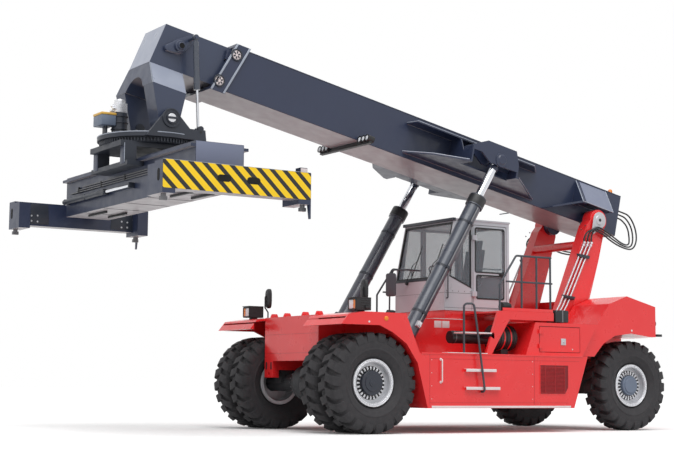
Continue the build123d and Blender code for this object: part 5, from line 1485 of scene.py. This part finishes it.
@dataclass
class TowerTrim(Assembly):
    """Pipes, clamps, bearing covers and hoses of the boom tower. Sizes in metres."""

    face: float = 0.80
    pipe_top: tuple[float, float] = (-5.477, 3.47)
    pipe_foot: tuple[float, float] = (-4.85, 2.17)
    spacing: float = 0.0885
    pipe_radius: float = 0.017
    bearing: tuple[float, float] = (-5.85, 3.90)
    hose_size: float = 0.030
    hoses: int = 3

    def once(self) -> None:
        """Make the trim of both tower posts."""
        self.pipes()
        self.covers()

    def pipes(self) -> None:
        """Three oil pipes up the outer side of each post, with clamps and fittings."""
        (x1, z1), (x0, z0), y = self.pipe_top, self.pipe_foot, self.face + 0.030
        pipes, fittings, clamps = self.ground(), self.ground(), self.ground()
        way = Vector((x1 - x0, 0.0, z1 - z0)).normalized()
        for k in range(self.hoses):
            shift = -k * self.spacing
            pipes.tube([(x0 + shift + 0.10, y - 0.01, z0 - 0.06), (x0 + shift, y, z0 + 0.10),
                        (x1 + shift, y, z1)], self.pipe_radius, 0.05)
            for share in (0.0, 0.055):
                spot = Vector((x1 + shift, y, z1)) - way * share
                fittings.tube([spot, spot - way * 0.035], 0.028, sides=6)
        for t in (0.20, 0.80):
            x, z = x0 + (x1 - x0) * t, z0 + (z1 - z0) * t
            clamps.prism([(x + 0.06, z + 0.03), (x + 0.03, z - 0.03), (x - 0.215, z - 0.06), (x - 0.235, z)],
                         self.face, y + 0.024)
        pipes.mirrored().piece("tower_pipes", PIPE)
        fittings.mirrored().piece("tower_fittings", BRIGHT, sharp=30)
        clamps.mirrored().piece("tower_pipe_clamps", GRAPHITE, slot="black_plastic", bevel=0.004)

    def covers(self) -> None:
        """Machined cover plates over the pivot bearings, drawn down to a foot, with the posts' welds."""
        covers, marks, welds, (x, z) = self.ground(), self.ground(), self.ground(), self.bearing
        covers.prism(hull(ngon(self.bearing, 0.155, 32) + ngon((-5.685, 3.665), 0.035, 16)), self.face + 0.030,
                     self.face + 0.038)
        covers.lathe([(0, 0.05), (0.085, 0.05), (0.095, 0.04), (0.095, 0), (0, 0)], (x, self.face, z), steps=40)
        covers.mirrored().piece("bearing_covers", SILVER, slot="red_paint", bevel=0.002)
        for centre, r in (((x, self.face + 0.05, z), 0.030), ((-5.42, self.face, 3.70), 0.014),
                          ((-5.52, self.face, 3.78), 0.014)):
            marks.lathe([(0, 0.003), (r, 0.003), (r, 0), (0, 0)], centre, steps=20)
        marks.mirrored().piece("bearing_marks", BLACK)
        for route in (((-4.80, 1.94), (-5.575, 3.79), (-5.70, 3.945)),
                      ((-5.39, 1.94), (-5.60, 2.41), (-5.835, 3.14), (-5.985, 3.70))):
            welds.tube([(along, self.face + 0.001, height) for along, height in route], 0.006, 0.02, 8)
        welds.mirrored().piece("tower_welds", RED)

    def each(self, side: Side) -> None:
        """Oil hoses of one side, in a bow from the boom's rear end to the fittings on the tower."""
        for k in range(self.hoses):
            self.hose(side, k)

    def hose(self, side: Side, k: int) -> None:
        """One of the hoses of a side, counted from the outer one."""
        spread, reach = 0.055 * k, 0.045 * k
        start = self.layout.boom @ Vector((-0.764, side.value * (0.40 - spread), 0.46 - 0.05 * k))
        top_x, top_z = self.pipe_top[0] - self.spacing * k, self.pipe_top[1]
        ground = self.layout.ground.translation.x
        points = [start, start + Vector((-0.13, 0.0, -0.03))]
        for x, y, z in ((-6.93 + reach, 0.50 - spread, 4.10 - reach), (-7.03 + reach, 0.56 - spread, 3.86),
                        (-7.02 + reach, 0.61 - spread, 3.60),
                        (-6.82 + reach * 0.6, 0.70 - spread * 0.6, 3.40 + reach),
                        (-6.45, 0.84 - spread * 0.4, 3.40 + reach), (-6.12, 0.872, 3.50 + reach * 1.3),
                        (-5.86, 0.872, 3.66 + reach), (-5.60 - self.spacing * k * 0.7, 0.862, 3.72 + reach * 0.5),
                        (top_x + 0.035, 0.835, top_z + 0.09), (top_x, 0.824, top_z + 0.01)):
            points.append(Vector((ground + x, side.value * y, z)))
        name, size = f"boom_hose_{side.word}_{k}", self.hose_size
        line = nurbs_line(name, points)
        length = sum((b - a).length for a, b in zip(line, line[1:]))
        hose = Maker(Matrix.Identity(4)).tube(line, size / 2, sides=14).piece(name, HOSE, "")
        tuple(points[0])
        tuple(points[-1])
        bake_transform(hose)
        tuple(points[0])


def nurbs_line(name: str, points: Sequence[Point]) -> list[Vector]:
    """Points along a smooth NURBS curve through the region of a few given ones.

    Args:
        name: name of the curve while it exists.
        points: its control points.

    Returns:
        The curve's own points, close together.
    """
    curve = bpy.data.curves.new(name, "CURVE")
    curve.dimensions = "3D"
    curve.resolution_u = 10
    spline = curve.splines.new("NURBS")
    spline.points.add(len(points) - 1)
    for spot, point in zip(spline.points, points):
        spot.co = (*point, 1.0)
    spline.order_u = 3
    spline.use_endpoint_u = True
    carrier = bpy.data.objects.new(name, curve)
    bpy.context.scene.collection.objects.link(carrier)
    mesh = bpy.data.meshes.new_from_object(carrier.evaluated_get(bpy.context.evaluated_depsgraph_get()))
    line = [vertex.co.copy() for vertex in mesh.vertices]
    bpy.data.objects.remove(carrier)
    bpy.data.curves.remove(curve)
    bpy.data.meshes.remove(mesh)
    return line


# ------------------------------------------------------------------ lamps and mirrors

@dataclass
class FenderLamps(Assembly):
    """Faces, hoods and guards of the two fender lamps. Sizes in metres."""

    front: float = 0.28
    lens_z: tuple[float, float] = (1.985, 2.125)

    def once(self) -> None:
        """Make the lens faces, the bezels and the hoods."""
        front, slot = self.front, "lamp_housing"
        bezel = self.ground().ring(rectangle((1.642, 1.838), (1.982, 2.128), 0.012), 0.020, front - 0.002,
                                   front + 0.012, Axis.X)
        bezel.mirrored().piece("lamp_bezels", BLACK, slot=slot, bevel=0.002)
        for name, finish, y, corner in (("white", LENS_WHITE, (1.645, 1.765), 0.015),
                                        ("amber", LENS_AMBER, (1.772, 1.836), 0.012)):
            lens = self.ground().prism(rectangle(y, self.lens_z, corner), front, front + 0.006, Axis.X)
            lens.mirrored().piece(f"lamp_lenses_{name}", finish, bevel=0.002)
        hood = self.ground().prism([(0, 2.148), (0, 2.166), (0.30, 2.166), (0.30, 2.150)], 1.614, 1.866)
        hood.box((0.03, 0.12), (1.858, 1.885), (1.985, 2.03))
        hood.boxes(*(((0.03, 0.20), (1.858, 1.866), (z - 0.006, z + 0.006)) for z in (2.00, 2.04, 2.08, 2.12)))
        hood.mirrored().piece("lamp_hoods", BLACK, slot=slot, bevel=0.004)


@dataclass
class Mirrors(Assembly):
    """Oval rear-view mirrors on their bent stalks, in the place of the plain ones."""

    foot: tuple[float, float] = (-0.06, 1.56)
    centre_z: float = 2.305
    half_height: float = 0.175
    half_width: float = 0.09

    def once(self) -> None:
        """Make both mirrors with glass, clamp and stalk."""
        (x, y), z = self.foot, self.centre_z
        outline = [(self.half_width * soft(math.cos, a, 0.6), self.half_height * soft(math.sin, a, 0.6))
                   for a in (math.tau * (k + 0.5) / 40 for k in range(40))]
        rings = [[(x + dx, y + p * share, z + q * share) for p, q in outline]
                 for dx, share in ((-0.030, 0.92), (-0.026, 1.0), (0.0, 1.0), (0.018, 0.90), (0.028, 0.60))]
        mirror = self.ground().loft(rings, caps=True)
        mirror.tube([(x, y, 1.925), (x, y, 2.06), (x + 0.045, y + 0.03, 2.14), (x + 0.045, y + 0.03, 2.34),
                     (x + 0.02, y, 2.36)], 0.013, 0.04)
        mirror.lathe([(0, 0), (0.045, 0), (0.045, 0.012), (0.022, 0.018), (0, 0.018)], (x, y, 1.924), Axis.Z, 28)
        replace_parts(mirror.mirrored().piece("mirror_shells", BLACK, sharp=40), "mirrors")
        glass = self.ground().prism([(y + p * 0.86, z + q * 0.9) for p, q in outline], x - 0.0315, x - 0.029, Axis.X)
        glass.mirrored().piece("mirror_glass", CHROME, slot="window_glass")


# ------------------------------------------------------------------ dressing of the frame

def dress_nodes(frame: dict[str, Any]) -> None:
    """Give every CAD node the finish of its slot or its own."""
    for entry in frame["record"]["subparts"]:
        name = entry["node"]
        finish = NODE_FINISH.get(name, SLOT_FINISH[entry["material_slot"]])
        mesh = frame["nodes"][name].data
        mesh.materials.clear()
        mesh.materials.append(finish.build())
        LOG.info("node %s: %s", name, finish.name)


# ------------------------------------------------------------------ stage

@dataclass
class Stage:
    """Pale floor, plain studio light and the camera. Lengths in metres, angles in degrees."""

    eye: tuple[float, float, float] = (14.186, 21.223, 0.759)
    yaw: float = 32.41
    pitch: float = 6.31
    roll: float = 0.49
    lens: float = 77.87
    floor_half: float = 200.0
    sun_strength: float = 2.2
    sky_strength: float = 0.50
    floor_bounce: str = "#D0D0D0"
    floor_lift: float = 0.04

    def build(self) -> None:
        """Make the camera, the lamps, the world and the floor."""
        self.camera()
        self.lamps()
        self.world()
        self.floor()
        bpy.context.scene.view_settings.view_transform = "Standard"

    def camera(self) -> None:
        """Low camera in front of the machine's left side, looking up a little."""
        yaw, pitch, roll = (math.radians(a) for a in (self.yaw, self.pitch, self.roll))
        ahead = Vector((-math.sin(yaw) * math.cos(pitch), -math.cos(yaw) * math.cos(pitch), math.sin(pitch)))
        right = ahead.cross(Vector((0, 0, 1))).normalized()
        up = right.cross(ahead)
        level = Matrix((right, up, -ahead)).transposed().to_4x4()
        camera = bpy.data.objects.new("camera", bpy.data.cameras.new("camera"))
        camera.data.lens = self.lens
        camera.data.sensor_width = 36.0
        camera.data.clip_end = 1000.0
        camera.matrix_world = Matrix.Translation(self.eye) @ level @ Matrix.Rotation(roll, 4, "Z")
        bpy.context.scene.collection.objects.link(camera)
        bpy.context.scene.camera = camera

    def lamps(self) -> None:
        """One very broad lamp from high above, a little towards the camera."""
        data = bpy.data.lights.new("key", "SUN")
        data.energy = self.sun_strength
        data.angle = math.radians(50)
        lamp = bpy.data.objects.new("key", data)
        lamp.rotation_euler = Vector((0.26, 0.52, 1.0)).to_track_quat("Z", "Y").to_euler()
        bpy.context.scene.collection.objects.link(lamp)

    def world(self) -> None:
        """Grey studio walls that look white to the camera, in metal and in glass."""
        world = bpy.data.worlds.new("studio")
        world.use_nodes = True
        tree = world.node_tree
        tree.nodes.clear()
        light = add_node(tree, "ShaderNodeBackground", {0: linear("#FFFFFF"), 1: self.sky_strength})
        white = add_node(tree, "ShaderNodeBackground", {0: linear("#FFFFFF"), 1: 1.0})
        seen = seen_share(tree)
        mix = add_node(tree, "ShaderNodeMixShader", {0: seen, 1: light.outputs[0], 2: white.outputs[0]})
        add_node(tree, "ShaderNodeOutputWorld", {0: mix.outputs[0]})
        bpy.context.scene.world = world

    def floor(self) -> None:
        """Floor that is white to the eye, keeps the machine's shadow and throws little light back."""
        half = self.floor_half
        mesh = bpy.data.meshes.new("floor")
        mesh.from_pydata([(-half, -half, 0), (half, -half, 0), (half, half, 0), (-half, half, 0)], [],
                         [(0, 1, 2, 3)])
        floor = bpy.data.objects.new("floor", mesh)
        material = bpy.data.materials.new("white_floor")
        material.use_nodes = True
        shader = material.node_tree.nodes["Principled BSDF"]
        tree = material.node_tree
        path = add_node(tree, "ShaderNodeLightPath").outputs
        tone = add_node(tree, "ShaderNodeMix", {0: path["Is Diffuse Ray"], 6: linear("#FFFFFF"),
                                                7: linear(self.floor_bounce)}, data_type="RGBA")
        lift = add_node(tree, "ShaderNodeMath", {0: seen_share(tree), 1: self.floor_lift}, operation="MULTIPLY")
        tree.links.new(tone.outputs[2], shader.inputs["Base Color"])
        tree.links.new(lift.outputs[0], shader.inputs["Emission Strength"])
        shader.inputs["Emission Color"].default_value = linear("#FFFFFF")
        shader.inputs["Roughness"].default_value = 0.9
        shader.inputs["Specular IOR Level"].default_value = 0.0
        mesh.materials.append(material)
        bpy.context.scene.collection.objects.link(floor)


def seen_share(tree: bpy.types.NodeTree) -> bpy.types.NodeSocket:
    """1 for rays that show the background to the eye, in metal or through glass, else 0."""
    path = add_node(tree, "ShaderNodeLightPath").outputs
    one = add_node(tree, "ShaderNodeMath", {0: path["Is Camera Ray"], 1: path["Is Glossy Ray"]},
                   operation="MAXIMUM")
    two = add_node(tree, "ShaderNodeMath", {0: one.outputs[0], 1: path["Is Transmission Ray"]},
                   operation="MAXIMUM")
    return two.outputs[0]


def main() -> None:
    """Load the frame, dress it and set the stage."""
    logging.basicConfig(level=logging.INFO, format="%(name)s: %(message)s")
    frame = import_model()
    layout = Layout(frame)
    Stage().build()
    dress_nodes(frame)
    for assembly in (Tyres, WheelFaces, WarningStripes, SpreaderTrim, SlewTrim, BoomTrim, CylinderTrim, CabTrim,
                     BodyTrim, TowerTrim, FenderLamps, Mirrors):
        assembly(layout).build()


if __name__ == "__main__":
    main()
